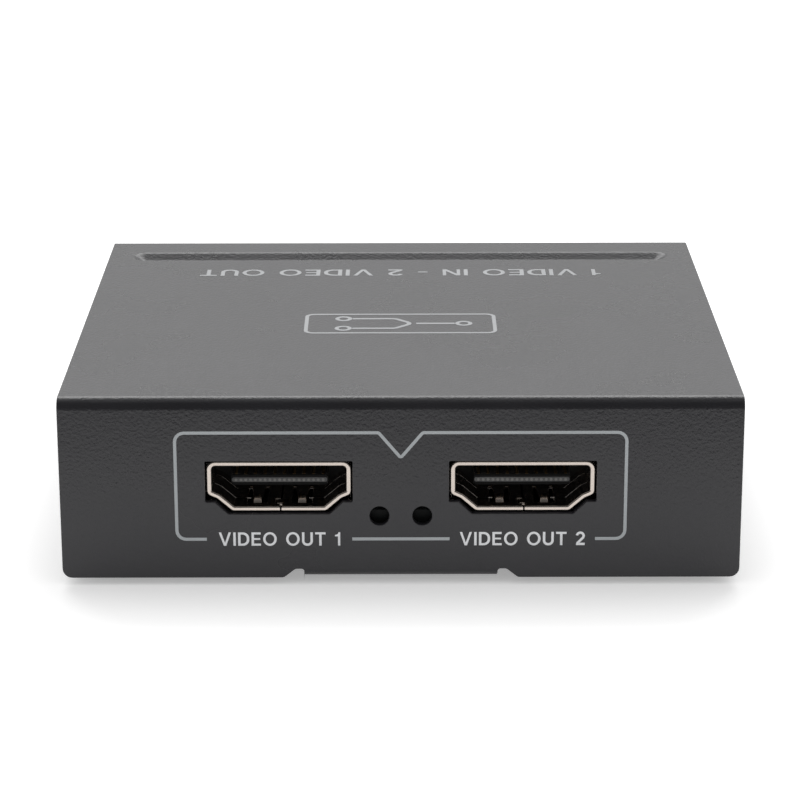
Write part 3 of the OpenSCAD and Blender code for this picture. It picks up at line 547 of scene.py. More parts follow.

# %% [markdown]
# Every finished piece goes the same way into the scene: scaled to metres, shaded smooth with its sharp
# edges kept, and tied to the CAD body that it moves with. A CAD node that it stands in for is hidden.
# Weighted normals let the large flat faces win over the small rounded edges beside them.

# %% Setting a piece in place


def set_in_place(name, mesh, place, material, replaced=()):
    """Turns a mesh in millimetres into a piece of the object that rides on the case."""
    bmesh.ops.transform(mesh, matrix=Matrix.Scale(MM, 4) @ place, verts=mesh.verts)
    data = bpy.data.meshes.new(name)
    mesh.to_mesh(data)
    mesh.free()
    data.shade_smooth()
    data.set_sharp_from_angle(angle=math.radians(40))
    data.materials.append(material)
    piece = bpy.data.objects.new(name, data)
    scene.collection.objects.link(piece)
    piece.modifiers.new("flat_faces", "WEIGHTED_NORMAL").keep_sharp = True
    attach(piece, "case")
    if replaced:
        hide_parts(*replaced)
    return piece


# %% [markdown]
# The cover is the top, front and rear in one sheet. Flattened, the front and rear walls lie before and
# behind the top, each longer by the arc of its bend. At the foot of the front wall a lip folds in under
# the tray, between two relief notches.

# %% Cover: outline
BEND_R, LIP_BEND_R = 1.2, 0.85
SHEET_EDGE = 0.12
LIP_HALF, LIP_LEN, LIP_RISE = 10.0, 6.0, 0.1
RELIEF_W, RELIEF_SLOPE, SKIRT_R = 0.9, 1.2, 1.0
QUARTER = math.pi / 2
wall_len = BEND_R * (QUARTER - 2) + top_z


def front_u(z):
    """Place on the flat blank of a height z on the front wall."""
    return front_y + z - wall_len


def rear_u(z):
    """Place on the flat blank of a height z on the rear wall."""
    return rear_y - z + wall_len


lip_fold_z = skirt_z + LIP_RISE + LIP_BEND_R
lip_end_u = front_u(lip_fold_z) - LIP_BEND_R * QUARTER - (LIP_LEN - LIP_BEND_R)
cover_outline = rounded_outline(both_sides([
    (LIP_HALF, lip_end_u, 0.8),
    (LIP_HALF, front_u(lip_fold_z), 0.3),
    (LIP_HALF + RELIEF_W, front_u(lip_fold_z), 0.5),
    (LIP_HALF + RELIEF_W + RELIEF_SLOPE, front_u(skirt_z), 0.6),
    (side_x, front_u(skirt_z), SKIRT_R),
    (side_x, rear_u(skirt_z), SKIRT_R),
]))

print("cover blank:", round(rear_u(skirt_z) - lip_end_u, 2), "mm long")

# %% [markdown]
# The front wall has two port openings with square corners and two light holes. The rear wall has the
# input's opening, the jack's hole and two screw holes. A port's opening follows its shell with a gap all
# round, and the places of the holes are read from the CAD nodes and mounts that sit behind them.

# %% Cover: openings
PORT_W, PORT_H, SHELL_T, PORT_GAP = 14.0, 4.55, 0.35, 0.2
FLOOR_W, KNEE_W, KNEE_H, SIDE_H = 9.3, 12.3, 1.3, 1.7
SCREW_HEAD, SCREW_HOLE, JACK_HOLE = 4.6, 1.45, 3.5
LIGHT_X, LIGHT_Z, LIGHT_HOLE = 2.2, 7.6, 1.0
ROOM = SHELL_T + PORT_GAP
port_low_z = box_mm("out_1_shell")[1].z - PORT_H - 2 * SHELL_T
opening = both_sides([
    (FLOOR_W / 2 + ROOM, -ROOM, 0.15), (KNEE_W / 2 + SHELL_T, KNEE_H - ROOM, 0.1),
    (PORT_W / 2 + ROOM, KNEE_H - ROOM, 0.15), (PORT_W / 2 + ROOM, PORT_H + ROOM, 0.15),
])
port_x = {port: sum(c.x for c in box_mm(port + "_shell")) / 2 for port in ("out_1", "out_2", "in")}


def opening_at(x, flat_place):
    """The port opening on a wall, around the port at x."""
    return rounded_outline([(x + px, flat_place(port_low_z + SHELL_T + pz), r) for px, pz, r in opening])


mounts = {mount["name"]: [c / MM for c in mount["pos_m"]] for mount in frame["record"]["mounts"]}
jack_x, _, jack_z = mounts["dc_pin"]
screw_low, screw_high = box_mm("cover_screws")
screw_x, screw_z = screw_high.x - SCREW_HEAD / 2, (screw_low.z + screw_high.z) / 2
cover_holes = [
    *(opening_at(x, rear_u if port == "in" else front_u) for port, x in port_x.items()),
    circle(jack_x, rear_u(jack_z), JACK_HOLE),
    *(circle(side * LIGHT_X, front_u(LIGHT_Z), LIGHT_HOLE) for side in (-1, 1)),
    *(circle(side * screw_x, rear_u(screw_z), SCREW_HOLE) for side in (-1, 1)),
]
print("holes in the cover:", len(cover_holes))

# %% [markdown]
# The shallow groove near the rear is pressed into the flat sheet, across almost the whole width. It is a
# rounded bar in plan. How far a point lies inside that bar gives the depth there, along a soft step, so
# the two lips are rounded as pressed steel is. Extra score lines give the slopes enough points to bend.

# %% Cover: groove, folds and paint
GROOVE_Y, GROOVE_HALF_W, GROOVE_HALF_L = rear_y - 7.4, 2.0, side_x - 2.7
GROOVE_SLOPE, GROOVE_DEPTH, GROOVE_R = 1.7, 0.72, 1.9
GROOVE_EASE, GROOVE_STEPS = 0.22, 11


def soft_step(share):
    """Straight ramp from 0 to 1 with an easy start and end."""
    share = min(max(share, 0.0), 1.0)
    near_end = min(share, 1 - share)
    if near_end >= GROOVE_EASE:
        return (share - GROOVE_EASE / 2) / (1 - GROOVE_EASE)
    eased = near_end ** 2 / (2 * GROOVE_EASE * (1 - GROOVE_EASE))
    return eased if share < 0.5 else 1 - eased


def groove_depth(x, y):
    """Depth of the pressed groove at a point of the blank."""
    dx = abs(x) - (GROOVE_HALF_L - GROOVE_R)
    dy = abs(y - GROOVE_Y) - (GROOVE_HALF_W - GROOVE_R)
    outside = math.hypot(max(dx, 0), max(dy, 0)) + min(max(dx, dy), 0)
    return GROOVE_DEPTH * soft_step((GROOVE_R - outside) / GROOVE_SLOPE)


cover = FoldedSheet(cover_outline, cover_holes, sheet_t, SHEET_EDGE)
for k in range(-1, GROOVE_STEPS + 1):
    inset = GROOVE_SLOPE * k / GROOVE_STEPS
    for side in (-1, 1):
        cover.score(1, GROOVE_Y + side * (GROOVE_HALF_W - inset))
        cover.score(0, side * (GROOVE_HALF_L - inset))
cover.press(groove_depth)
cover.fold(1, front_u(lip_fold_z), -1, LIP_BEND_R, 90, reach=(-LIP_HALF, LIP_HALF, -200, 0))
cover.fold(1, front_y + BEND_R, -1, BEND_R, 90, steps=12)
cover.fold(1, rear_y - BEND_R, 1, BEND_R, 90, steps=12)
at_top = Matrix.Translation((0, 0, top_z))
cover_piece = set_in_place("cover_sheet", cover.shaped(), at_top, case_paint, ["top_cover"])
print("cover:", len(cover_piece.data.polygons), "faces")

# %% [markdown]
# The tray is the floor and the two sides, folded up, with two screw tabs at the rear that the cover is
# screwed to. Its blank is drawn with the outer face up, like the cover's, and the folded tray is then
# turned over.

# %% Tray: outline
FLOOR_FRONT, FLOOR_REAR = front_y + LIP_BEND_R + 0.15, rear_y - sheet_t - BEND_R
WALL_FRONT, WALL_REAR = tray_low.y, rear_y - sheet_t - 0.15
TAB_HALF, TAB_TOP = 5.0, screw_z + 2.8
wall_start = side_x + BEND_R * (QUARTER - 1)
tray_fold_x = side_x - BEND_R


def wall_u(z):
    """Place on the flat blank of a height z on a side wall."""
    return wall_start + z - tray_z - BEND_R


tab_u = FLOOR_REAR + BEND_R * QUARTER + TAB_TOP - tray_z - BEND_R
tray_outline = rounded_outline(both_sides([
    (wall_start, FLOOR_FRONT, 0), (wall_start, WALL_FRONT, 0),
    (wall_u(tray_high.z), WALL_FRONT, 0.4), (wall_u(tray_high.z), WALL_REAR, 0.4),
    (wall_start, WALL_REAR, 0), (wall_start, FLOOR_REAR, 0),
    (screw_x + TAB_HALF, FLOOR_REAR, 0), (screw_x + TAB_HALF, tab_u, 1.0),
    (screw_x - TAB_HALF, tab_u, 1.0), (screw_x - TAB_HALF, FLOOR_REAR, 0),
]))
print("tray blank:", round(2 * wall_u(tray_high.z), 2), "mm wide")

# %% [markdown]
# Each side has seven upright vent slots with round ends, and each tab a tapped hole. They are cut in the
# flat, like the rest, and come round with the walls when these are folded.

# %% Tray: vents and folds
VENTS, VENT_W, VENT_H, VENT_PITCH = 7, 1.6, 6.0, 4.5
TAPPED_R, ROUND_END = 1.3, VENT_W / 2 - 0.001
vent_mid_y = (WALL_FRONT + WALL_REAR) / 2
vent_mid_u = wall_u((tray_z + BEND_R + tray_high.z) / 2)
tapped_u = tab_u - TAB_TOP + screw_z
tray_holes = [circle(side * screw_x, tapped_u, TAPPED_R) for side in (-1, 1)]
for side in (-1, 1):
    for k in range(VENTS):
        y = vent_mid_y + (k - (VENTS - 1) / 2) * VENT_PITCH
        tray_holes.append(plate_outline(side * vent_mid_u, y, VENT_H, VENT_W, ROUND_END, 8))
tray = FoldedSheet(tray_outline, tray_holes, sheet_t, SHEET_EDGE)
tab_reach = screw_x + TAB_HALF + 0.1
tray.fold(1, FLOOR_REAR, 1, BEND_R, 90, reach=(-tab_reach, tab_reach, 0, 100))
for side in (-1, 1):
    tray.fold(0, side * tray_fold_x, side, BEND_R, 90, steps=10)
turned_over = Matrix.Translation((0, 0, tray_z)) @ Matrix.Rotation(math.pi, 4, "Y")
tray_piece = set_in_place("tray_sheet", tray.shaped(), turned_over, case_paint, ["base_tray"])
print("tray:", len(tray_piece.data.polygons), "faces,", 2 * VENTS, "vents")

# %% [markdown]
# A port's shell is one strip of nickel-plated brass, wrapped round the opening's outline with its seam in
# the floor. Its shoulders make an S, so one of its bends runs the other way. To wrap it, the outline's
# straight lengths and arcs are laid end to end along the strip, from the middle of the top outwards.

# %% Port shells: the strip and its bends
port_nickel = finish(
    "port_nickel", ((0.50, 0.445, 0.40), (0.56, 0.50, 0.45)), (0.20, 0.25), metal=1.0,
    lines=(0.06, 1.5), bump=0.0006,
)
SHELL_LEN, SHELL_EDGE, SHELL_ROUNDS, ROLLED = 11.0, 0.17, 3, 0.10
outline_half = [(PORT_W / 2, PORT_H), (PORT_W / 2, SIDE_H), (KNEE_W / 2, KNEE_H), (FLOOR_W / 2, 0.0)]
SHELL_RADII = [0.95, 0.65, -0.5, 0.6]


def grown(points, distance):
    """Outline moved outwards (to the left of its direction), with its corners kept sharp."""
    moved = []
    for i, here in enumerate(points):
        before = (Vector(here) - Vector(points[i - 1])).normalized()
        after = (Vector(points[(i + 1) % len(points)]) - Vector(here)).normalized()
        first, second = Vector((-before.y, before.x)), Vector((-after.y, after.x))
        moved.append(Vector(here) + distance * (first + second) / (1 + first.dot(second)))
    return moved


closed = outline_half + [(-x, z) for x, z in reversed(outline_half)]
outer_half = grown(closed, SHELL_T + ROLLED)[:len(outline_half)]
bends, run_on = [], 0.0
strip_path = [Vector((0, outer_half[0].y)), *outer_half, Vector((0, outer_half[-1].y))]
spare = 0.0
for before, here, after, radius in zip(strip_path, strip_path[1:], strip_path[2:], SHELL_RADII):
    turn = abs((here - before).angle_signed(after - here))
    cut_back = abs(radius) * math.tan(turn / 2)
    run_on += (here - before).length - spare - cut_back
    bends.append((run_on, radius, math.degrees(turn)))
    run_on += abs(radius) * turn
    spare = cut_back
floor_end = run_on + outer_half[-1].x - spare
print("bends of a shell:", [(round(line, 2), radius, round(turn, 1)) for line, radius, turn in bends])

# %% [markdown]
# The seam is keyed, so the strip cannot spring open: a small tab on one end sits in a notch of the other.
# Four spring fingers are cut free on three sides, lean into the port, and curl at the tip, so that a plug
# slides under them.

# %% Port shells: seam and fingers
SEAM_X, SEAM_GAP, SEAM_KEY, KEY_FRONT, KEY_BACK = 0.15, 0.17, 0.5, 1.05, 2.5
FINGER_W, FINGER_TIP_W, FINGER_X, FINGER_SLOT = 1.5, 0.85, 2.3, 0.25
FINGER_FRONT, FINGER_LEN, FINGER_LEAN = 1.3, 5.1, 8.0
FINGER_CURL, CURL_R, CURL_LEN = 110.0, 0.52, 1.0
finger_root, finger_tip = FINGER_FRONT + FINGER_LEN, FINGER_FRONT + FINGER_SLOT


def seam_side(side):
    """End of the strip on one side of the seam, from the rim to the back, as (s, y, radius)."""
    places = []
    spans = ((0.0, 0.0, KEY_FRONT), (-SEAM_KEY, KEY_FRONT, KEY_BACK), (0.0, KEY_BACK, SHELL_LEN))
    for shift, low, high in spans:
        x = SEAM_X + shift + side * SEAM_GAP / 2
        step = SEAM_GAP / 2 * (1 if (shift < 0) == (side < 0) else -1)
        places += [(x, low - (step if low else 0)), (x, high + (step if high < SHELL_LEN else 0))]
    return [(side * (floor_end - side * x), y, 0) for x, y in places]


def finger_windows():
    """U-shaped cuts that free the four fingers, with the middle of each finger on the strip."""
    cuts, middles = [], []
    half, tip_half, outer = FINGER_W / 2, FINGER_TIP_W / 2, FINGER_W / 2 + FINGER_SLOT
    shape = [(-outer, FINGER_FRONT), (outer, FINGER_FRONT), (outer, finger_root), (half, finger_root),
             (tip_half, finger_tip), (-tip_half, finger_tip), (-half, finger_root), (-outer, finger_root)]
    for side in (-1, 1):
        for middle in (side * FINGER_X, side * (floor_end - FINGER_X)):
            middles.append(middle)
            cuts.append([(middle + x, y) for x, y in shape])
    return cuts, middles


def wrapped_strip():
    """The wrapped strip, with the middle of its upper face on the origin and its rim at y = 0."""
    right, left = seam_side(1), seam_side(-1)
    windows, middles = finger_windows()
    outline = rounded_outline([*left[:1], *right, *reversed(left[1:])])
    strip = FoldedSheet(outline, windows, SHELL_T + 2 * ROLLED, SHELL_EDGE, SHELL_ROUNDS)
    for middle in middles:
        reach = (middle - FINGER_W / 2 - 0.01, middle + FINGER_W / 2 + 0.01, finger_tip - 0.1, finger_root)
        strip.fold(1, finger_tip + CURL_LEN, -1, -CURL_R, FINGER_CURL, steps=6, reach=reach)
        strip.fold(1, finger_root, -1, 2.0, FINGER_LEAN, steps=2, reach=reach)
    for line, radius, turn in reversed(bends):
        for side in (-1, 1):
            strip.fold(0, side * line, side, radius, turn, steps=6)
    return strip.shaped()


print("fingers on a strip:", len(finger_windows()[1]))

# %% [markdown]
# Two solder legs stand on each side of a shell and go through the board. They are flat plates that join
# the strip's mesh, so that a shell stays one piece. The input is the same shell, turned round.

# %% Port shells: legs and places
LEG_W, LEG_FRONT, LEG_PITCH, LEG_TIP, LEG_OVERLAP = 1.4, 2.6, 5.5, 0.3, 1.2
LEG_T, LEG_EDGE = SHELL_T - 0.04, 0.1


def solder_leg(side, y):
    """Flat leg on one side of a shell, from its shoulder down through the board."""
    top = PORT_H + 2 * SHELL_T + ROLLED
    low, high = box_mm("out_1_shell")[0].z - port_low_z - top, SIDE_H + LEG_OVERLAP - top
    outline = [(y, high, 0), (y, low, LEG_TIP), (y + LEG_W, low, LEG_TIP), (y + LEG_W, high, 0)]
    leg = flat_blank(rounded_outline(outline), [], LEG_T, LEG_EDGE)
    upright = Matrix(((0, 0, 1, 0), (1, 0, 0, 0), (0, 1, 0, 0), (0, 0, 0, 1)))
    at_side = Matrix.Translation((side * (PORT_W / 2 + SHELL_T / 2) + LEG_T / 2, 0, 0))
    bmesh.ops.transform(leg, matrix=at_side @ upright, verts=leg.verts)
    return leg


def port_shell():
    """A whole shell with its four legs."""
    shell = wrapped_strip()
    for side in (-1, 1):
        for y in (LEG_FRONT, LEG_FRONT + LEG_PITCH):
            leg, data = solder_leg(side, y), bpy.data.meshes.new("leg")
            leg.to_mesh(data)
            leg.free()
            shell.from_mesh(data)
            bpy.data.meshes.remove(data)
    return shell


def port_place(port):
    """Where a port's upper face and rim are, and which way it looks."""
    low, high = box_mm(port + "_shell")
    rim_y = high.y if port == "in" else low.y
    turned = Matrix.Rotation(math.pi if port == "in" else 0.0, 4, "Z")
    return Matrix.Translation((port_x[port], rim_y, high.z + ROLLED)) @ turned


for port in port_x:
    shell, place = port_shell(), port_place(port)
    piece = set_in_place(port + "_nickel_shell", shell, place, port_nickel, [port + "_shell"])
    print(piece.name, len(piece.data.polygons), "faces")

# %% [markdown]
# What stays as it is in CAD gets rounded edges by modifiers, which leave its mesh untouched: a weld joins
# the split corners of the import, a planar decimate clears the triangles of flat faces, and a small bevel
# catches the light along each edge.

# %% Dressing CAD nodes


def dress(nodes, material, width):
    """Gives CAD nodes their material, and edges rounded by a width in millimetres."""
    for node in nodes:
        obj = frame["nodes"][node]
        obj.data.materials.clear()
        obj.data.materials.append(material)
        obj.modifiers.new("joined", "WELD").merge_threshold = 1e-6
        flat = obj.modifiers.new("flat", "DECIMATE")
        flat.decimate_type, flat.angle_limit = "DISSOLVE", math.radians(1)
        bevel = obj.modifiers.new("edge", "BEVEL")
        bevel.width, bevel.segments = width * MM, 2
        bevel.limit_method, bevel.angle_limit = "ANGLE", math.radians(40)
        obj.modifiers.new("flat_faces", "WEIGHTED_NORMAL").keep_sharp = True
    print(material.name, "on", ", ".join(nodes))


def grey(level):
    """The same level of red, green and blue."""
    return (level, level, level)


print("nodes left to dress:", sum(not obj.hide_render for obj in frame["nodes"].values()))

# %% [markdown]
# The sockets' mouldings are black plastic with a fine grain, a little grey where an edge is rubbed. The
# contacts are gold over nickel and dull, and their gold is darkened as painted shade, for the shade of the
# port. Pin, spring and sleeve terminal of the power jack are tinned brass.

# %% Finishes of the sockets
ports = list(port_x)
port_moulding = finish(
    "port_moulding", (grey(0.010), grey(0.014)), (0.45, 0.6), grain=0.15, bump=0.004, rub=grey(0.05))
# Painted shade: the gold is set dark for the shade inside the port.
contact_gold = finish(
    "contact_gold", ((0.24, 0.17, 0.08), (0.31, 0.22, 0.11)), (0.35, 0.45),
    metal=1.0, lines=(0.03, 1.0), bump=0.001)
jack_moulding = finish(
    "jack_moulding", (grey(0.012), grey(0.018)), (0.40, 0.55), grain=0.2, bump=0.006, rub=grey(0.04))
jack_metal = finish(
    "jack_metal", ((0.40, 0.375, 0.34), (0.47, 0.44, 0.40)), (0.26, 0.34),
    metal=1.0, lines=(0.05, 1.5), bump=0.002)
dress([port + "_insulator" for port in ports], port_moulding, 0.05)
dress([port + "_contacts" for port in ports], contact_gold, 0.03)
dress(["jack_housing"], jack_moulding, 0.12)
dress(["jack_centre_pin", "jack_leaf_spring", "jack_sleeve_terminal"], jack_metal, 0.05)

# %% [markdown]
# The cover's screws are blackened and rub bright at their edges, the board's screws are zinc-plated, and
# the standoffs are turned brass. The feet are dull rubber, whose rounded rim shows under the case.

# %% Finishes of screws and feet
black_screw = finish(
    "black_screw", ((0.020, 0.020, 0.022), (0.034, 0.034, 0.036)), (0.28, 0.42),
    grain=0.12, bump=0.004, rub=grey(0.12))
plated_screw = finish(
    "plated_screw", ((0.44, 0.44, 0.46), (0.54, 0.54, 0.56)), (0.22, 0.36),
    metal=1.0, lines=(0.05, 0.6), bump=0.002)
brass_standoff = finish(
    "brass_standoff", ((0.60, 0.44, 0.20), (0.72, 0.54, 0.26)), (0.24, 0.38),
    metal=1.0, lines=(0.05, 0.8), bump=0.002)
foot_rubber = finish(
    "foot_rubber", (grey(0.012), grey(0.022)), (0.70, 0.85), grain=0.25, bump=0.012, rub=grey(0.04))
dress(["cover_screws"], black_screw, 0.06)
dress(["board_screws"], plated_screw, 0.06)
dress(["board_standoffs"], brass_standoff, 0.08)
dress(["rubber_feet"], foot_rubber, 0.25)

# %% [markdown]
# The board is black laminate, set darker and less glossy still as painted shade, which keeps the inside
# dark behind the vents. Chips are matt resin, the crystal and the bulk capacitors have bright metal cans,
# and the small ceramic parts are tan.

# %% Finishes of the board
# Painted shade: the laminate is darker than black board and has a low IOR, for the shade inside the case.
board_laminate = finish(
    "board_laminate", ((0.004, 0.005, 0.005), (0.007, 0.008, 0.008)), (0.5, 0.6),
    grain=0.4, bump=0.004, IOR=1.3)
chip_resin = finish(
    "chip_resin", ((0.014, 0.014, 0.015), (0.022, 0.022, 0.023)), (0.50, 0.65), grain=0.1, bump=0.004)
can_metal = finish(
    "can_metal", ((0.48, 0.48, 0.49), (0.58, 0.58, 0.59)), (0.20, 0.34),
    metal=1.0, lines=(0.05, 1.0), bump=0.002)
ceramic_body = finish(
    "ceramic_body", ((0.30, 0.21, 0.13), (0.38, 0.28, 0.18)), (0.40, 0.55), grain=0.1, bump=0.002)
light_lens = finish(
    "light_lens", ((0.30, 0.32, 0.30), (0.38, 0.40, 0.38)), (0.15, 0.25), grain=0.2, bump=0.001)
dress(["circuit_board"], board_laminate, 0.08)
dress(["splitter_chip", "memory_chips", "surge_arrays", "voltage_regulators"], chip_resin, 0.06)
dress(["power_inductor"], chip_resin, 0.15)
dress(["clock_crystal", "bulk_capacitors"], can_metal, 0.1)
dress(["ceramic_capacitors", "chip_resistors"], ceramic_body, 0.03)
dress(["status_lights"], light_lens, 0.06)

# %% [markdown]
# The print is screen-printed ink, about a hundredth of a millimetre thick. An image could carry it, but
# then it would blur in a close view. A stroke is a path widened to both sides and cut as a thin blank, so
# each line of print is a real skin of ink with crisp edges.

# %% Ink and strokes
INK_T = 0.016
standing = Matrix.Rotation(math.pi / 2, 4, "X")
turned_round = Matrix.Rotation(math.pi, 4, "Z")
on_front = Matrix.Translation((0, front_y, 0)) @ standing
on_rear = Matrix.Translation((0, rear_y, 0)) @ turned_round @ standing
on_top = at_top @ turned_round


def printing_ink(name, *tones):
    """Matt ink between two tones."""
    return finish(name, tones, (0.5, 0.6), grain=0.1, bump=0.002)


def stroke(path, width):
    """Outline of an open path that is drawn with a pen of that width."""
    points = [Vector(p) for p in path]
    sides = []
    for i, here in enumerate(points):
        before = (here - points[i - 1]).normalized() if i else (points[1] - here).normalized()
        after = (points[i + 1] - here).normalized() if i + 1 < len(points) else before
        first, second = Vector((-before.y, before.x)), Vector((-after.y, after.x))
        sides.append((first + second) / max(1 + first.dot(second), 0.5) * width / 2)
    left = [tuple(p + s) for p, s in zip(points, sides)]
    right = [tuple(p - s) for p, s in zip(points, sides)]
    return left + right[::-1]


def printed(name, outlines, place, ink):
    """Thin skin of ink in the shape of some outlines."""
    skin = flat_blank(outlines[0], outlines[1:], INK_T, INK_T / 4)
    return set_in_place(name, skin, place @ Matrix.Translation((0, 0, INK_T)), ink)


print("ink is", INK_T, "mm thick")

# %% [markdown]
# The labels are set in plain capitals without serifs. Each letter is an outline of its own, in units of
# its height: straight letters are polygons, round ones are ovals with an inner loop, and the rest are pen
# strokes. A word is cut as one skin, because loops that do not touch can share a curve.

# %% Letters
PEN, LETTER_GAP, WORD_GAP = 0.175, 0.16, 0.34
half_pen, bar = PEN / 2, 0.16
bowl = oval(0.31, 0.33, 0.235, 0.255, 128, -275, 20)
LETTERS = {
    "V": (0.86, [[(0, 1), (0.345, 0), (0.515, 0), (0.86, 1), (0.69, 1), (0.43, 0.21), (0.17, 1)]]),
    "I": (PEN, [[(0, 0), (PEN, 0), (PEN, 1), (0, 1)]]),
    "T": (0.74, [[(0.37 - half_pen, 0), (0.37 + half_pen, 0), (0.37 + half_pen, 1 - bar), (0.74, 1 - bar),
                  (0.74, 1), (0, 1), (0, 1 - bar), (0.37 - half_pen, 1 - bar)]]),
    "E": (0.66, [[(0, 0), (0.66, 0), (0.66, bar), (PEN, bar), (PEN, 0.44), (0.61, 0.44), (0.61, 0.57),
                  (PEN, 0.57), (PEN, 1 - bar), (0.65, 1 - bar), (0.65, 1), (0, 1)]]),
    "N": (0.76, [[(0, 0), (0.148, 0), (0.148, 0.73), (0.58, 0), (0.76, 0), (0.76, 1), (0.612, 1),
                  (0.612, 0.27), (0.18, 1), (0, 1)]]),
    "D": (0.79, [rounded_outline([(0, 0, 0), (0.79, 0, 0.44), (0.79, 1, 0.44), (0, 1, 0)], 10),
                 rounded_outline([(PEN, bar, 0), (0.79 - PEN, bar, 0.3), (0.79 - PEN, 1 - bar, 0.3),
                                  (PEN, 1 - bar, 0)], 10)]),
    "O": (0.96, [oval(0.48, 0.5, 0.48, 0.515), oval(0.48, 0.5, 0.48 - PEN, 0.515 - bar)]),
    "C": (0.86, [stroke(oval(0.46, 0.5, 0.46 - half_pen, 0.515 - half_pen, 40, 280, 30), PEN)]),
    "U": (0.77, [stroke(rounded_outline(
        [(half_pen, 1, 0), (half_pen, half_pen - 0.015, 0.28), (0.77 - half_pen, half_pen - 0.015, 0.28),
         (0.77 - half_pen, 1, 0)], 8, closed=False), PEN)]),
    "1": (0.37, [[(0.21, 0), (0.37, 0), (0.37, 1), (0.25, 1), (0.21, 0.89), (0.13, 0.83), (0, 0.80),
                  (0, 0.69), (0.21, 0.69)]]),
    "2": (0.63, [stroke(oval(0.31, 0.70, 0.235, 0.235, 172, -212, 16) + [(0.12, 0.16), (0.11, half_pen),
                                                                         (0.63, half_pen)], PEN)]),
    "5": (0.62, [stroke([(0.57, 1 - half_pen), (0.165, 1 - half_pen), (0.115, 0.50), *bowl], PEN)]),
    "-": (0.42, [[(0, 0.36), (0.42, 0.36), (0.42, 0.50), (0, 0.50)]]),
}


def lettering(name, words, x, base, cap, place, ink):
    """Words in ink, centred on x, with their capitals cap high; gives their width."""
    loops, run = [], 0.0
    for sign in words:
        wide, shape = LETTERS.get(sign, (WORD_GAP, []))
        loops += [[(run + px, py) for px, py in loop] for loop in shape]
        run += wide + LETTER_GAP
    width = (run - LETTER_GAP) * cap
    start = x - width / 2
    loops = [[(start + cap * px, base + cap * py) for px, py in loop] for loop in loops]
    printed(name, loops, place, ink)
    return width


LABEL_CAP, LABEL_BASE = 1.46, 4.36
# Painted light: the white ink is set lighter than plain white print, to make up for the shaded front.
label_ink_and_painted_light = printing_ink("label_ink_and_painted_light", (0.86, 0.87, 0.89), (0.92, 0.93, 0.95))
label_half = 0.0
for port, words in (("out_1", "VIDEO OUT 1"), ("out_2", "VIDEO OUT 2")):
    wide = lettering(port + "_label", words, port_x[port], LABEL_BASE, LABEL_CAP, on_front, label_ink_and_painted_light)
    label_half = max(label_half, wide / 2)
print("front labels up to", round(2 * label_half, 2), "mm wide")

# %% [markdown]
# The frame round the outputs is one long stroke with rounded corners, from the left label up over the
# ports and down to the right label, with a V in the middle of its upper side. A short bar joins the
# labels between the lights.

# %% Frame round the outputs
FRAME_LINE, LABEL_GAP = 0.33, 1.05
FRAME_X, FRAME_TOP, FRAME_LOW, FRAME_R = 23.05, 16.6, 5.08, 0.95
NOTCH_HALF, NOTCH_DEPTH, NOTCH_R, NOTCH_TIP_R = 2.25, 2.7, 0.35, 0.2
frame_ink = printing_ink("frame_ink", (0.42, 0.445, 0.46), (0.47, 0.495, 0.51))
out_x = max(port_x.values())
stub = out_x + label_half + LABEL_GAP
frame_path = rounded_outline([
    (-stub, FRAME_LOW, 0), (-FRAME_X, FRAME_LOW, FRAME_R), (-FRAME_X, FRAME_TOP, FRAME_R),
    (-NOTCH_HALF, FRAME_TOP, NOTCH_R), (0, FRAME_TOP - NOTCH_DEPTH, NOTCH_TIP_R),
    (NOTCH_HALF, FRAME_TOP, NOTCH_R),
    (FRAME_X, FRAME_TOP, FRAME_R), (FRAME_X, FRAME_LOW, FRAME_R), (stub, FRAME_LOW, 0),
], closed=False)
inner_stub = out_x - label_half - LABEL_GAP
middle_bar = [(-inner_stub, FRAME_LOW), (inner_stub, FRAME_LOW)]
frame_strokes = [stroke(path, FRAME_LINE) for path in (frame_path, middle_bar)]
printed("front_frame", frame_strokes, on_front, frame_ink)
print("frame", 2 * FRAME_X, "mm wide")

# %% [markdown]
# The rear has a label under each socket. The top carries a sign for one line that splits into two, in a
# thin frame, and a line of words behind the middle. Both are set to be read from the rear.

# %% Print on the rear and the top
lettering("input_label", "VIDEO IN", -port_x["in"], LABEL_BASE, LABEL_CAP, on_rear, label_ink_and_painted_light)
lettering("power_label", "DC 5V", -jack_x, LABEL_BASE, LABEL_CAP, on_rear, label_ink_and_painted_light)
top_ink = printing_ink("top_ink", (0.36, 0.37, 0.38), (0.42, 0.43, 0.44))
WORDS_CAP, WORDS_BACK = 2.7, 50.4
lettering("top_words", "1 VIDEO IN - 2 VIDEO OUT", 0.0, -front_y - WORDS_BACK, WORDS_CAP, on_top, top_ink)
SIGN_BACK, SIGN_W, SIGN_H, SIGN_R, SIGN_LINE = 27.5, 21.2, 7.8, 1.1, 0.42
FORK_LINE, RING_R, RING_HOLE = 0.5, 0.95, 0.5
FORK_X, FORK_Y, FORK_R, FEED_X = 6.3, 1.9, 0.8, -7.0
sign_y = -front_y - SIGN_BACK
sign_loops = [plate_outline(0, sign_y, SIGN_W - 2 * inset, SIGN_H - 2 * inset, SIGN_R - inset)
              for inset in (0.0, SIGN_LINE)]
fork = [(FORK_X - 1, FORK_Y, 0), (0.6, FORK_Y, FORK_R), (-1.3, 0, FORK_R), (0.6, -FORK_Y, FORK_R),
        (FORK_X - 1, -FORK_Y, 0)]
fork_path = rounded_outline([(x, sign_y + y, r) for x, y, r in fork], closed=False)
feed_path = [(FEED_X + 1, sign_y), (-1.75, sign_y)]
sign_loops += [stroke(path, FORK_LINE) for path in (fork_path, feed_path)]
for x, y in ((FEED_X, 0), (FORK_X, FORK_Y), (FORK_X, -FORK_Y)):
    sign_loops += [circle(x, sign_y + y, RING_R), circle(x, sign_y + y, RING_HOLE)]
printed("top_sign", sign_loops, on_top, top_ink)
print("the sign has", len(sign_loops), "loops")
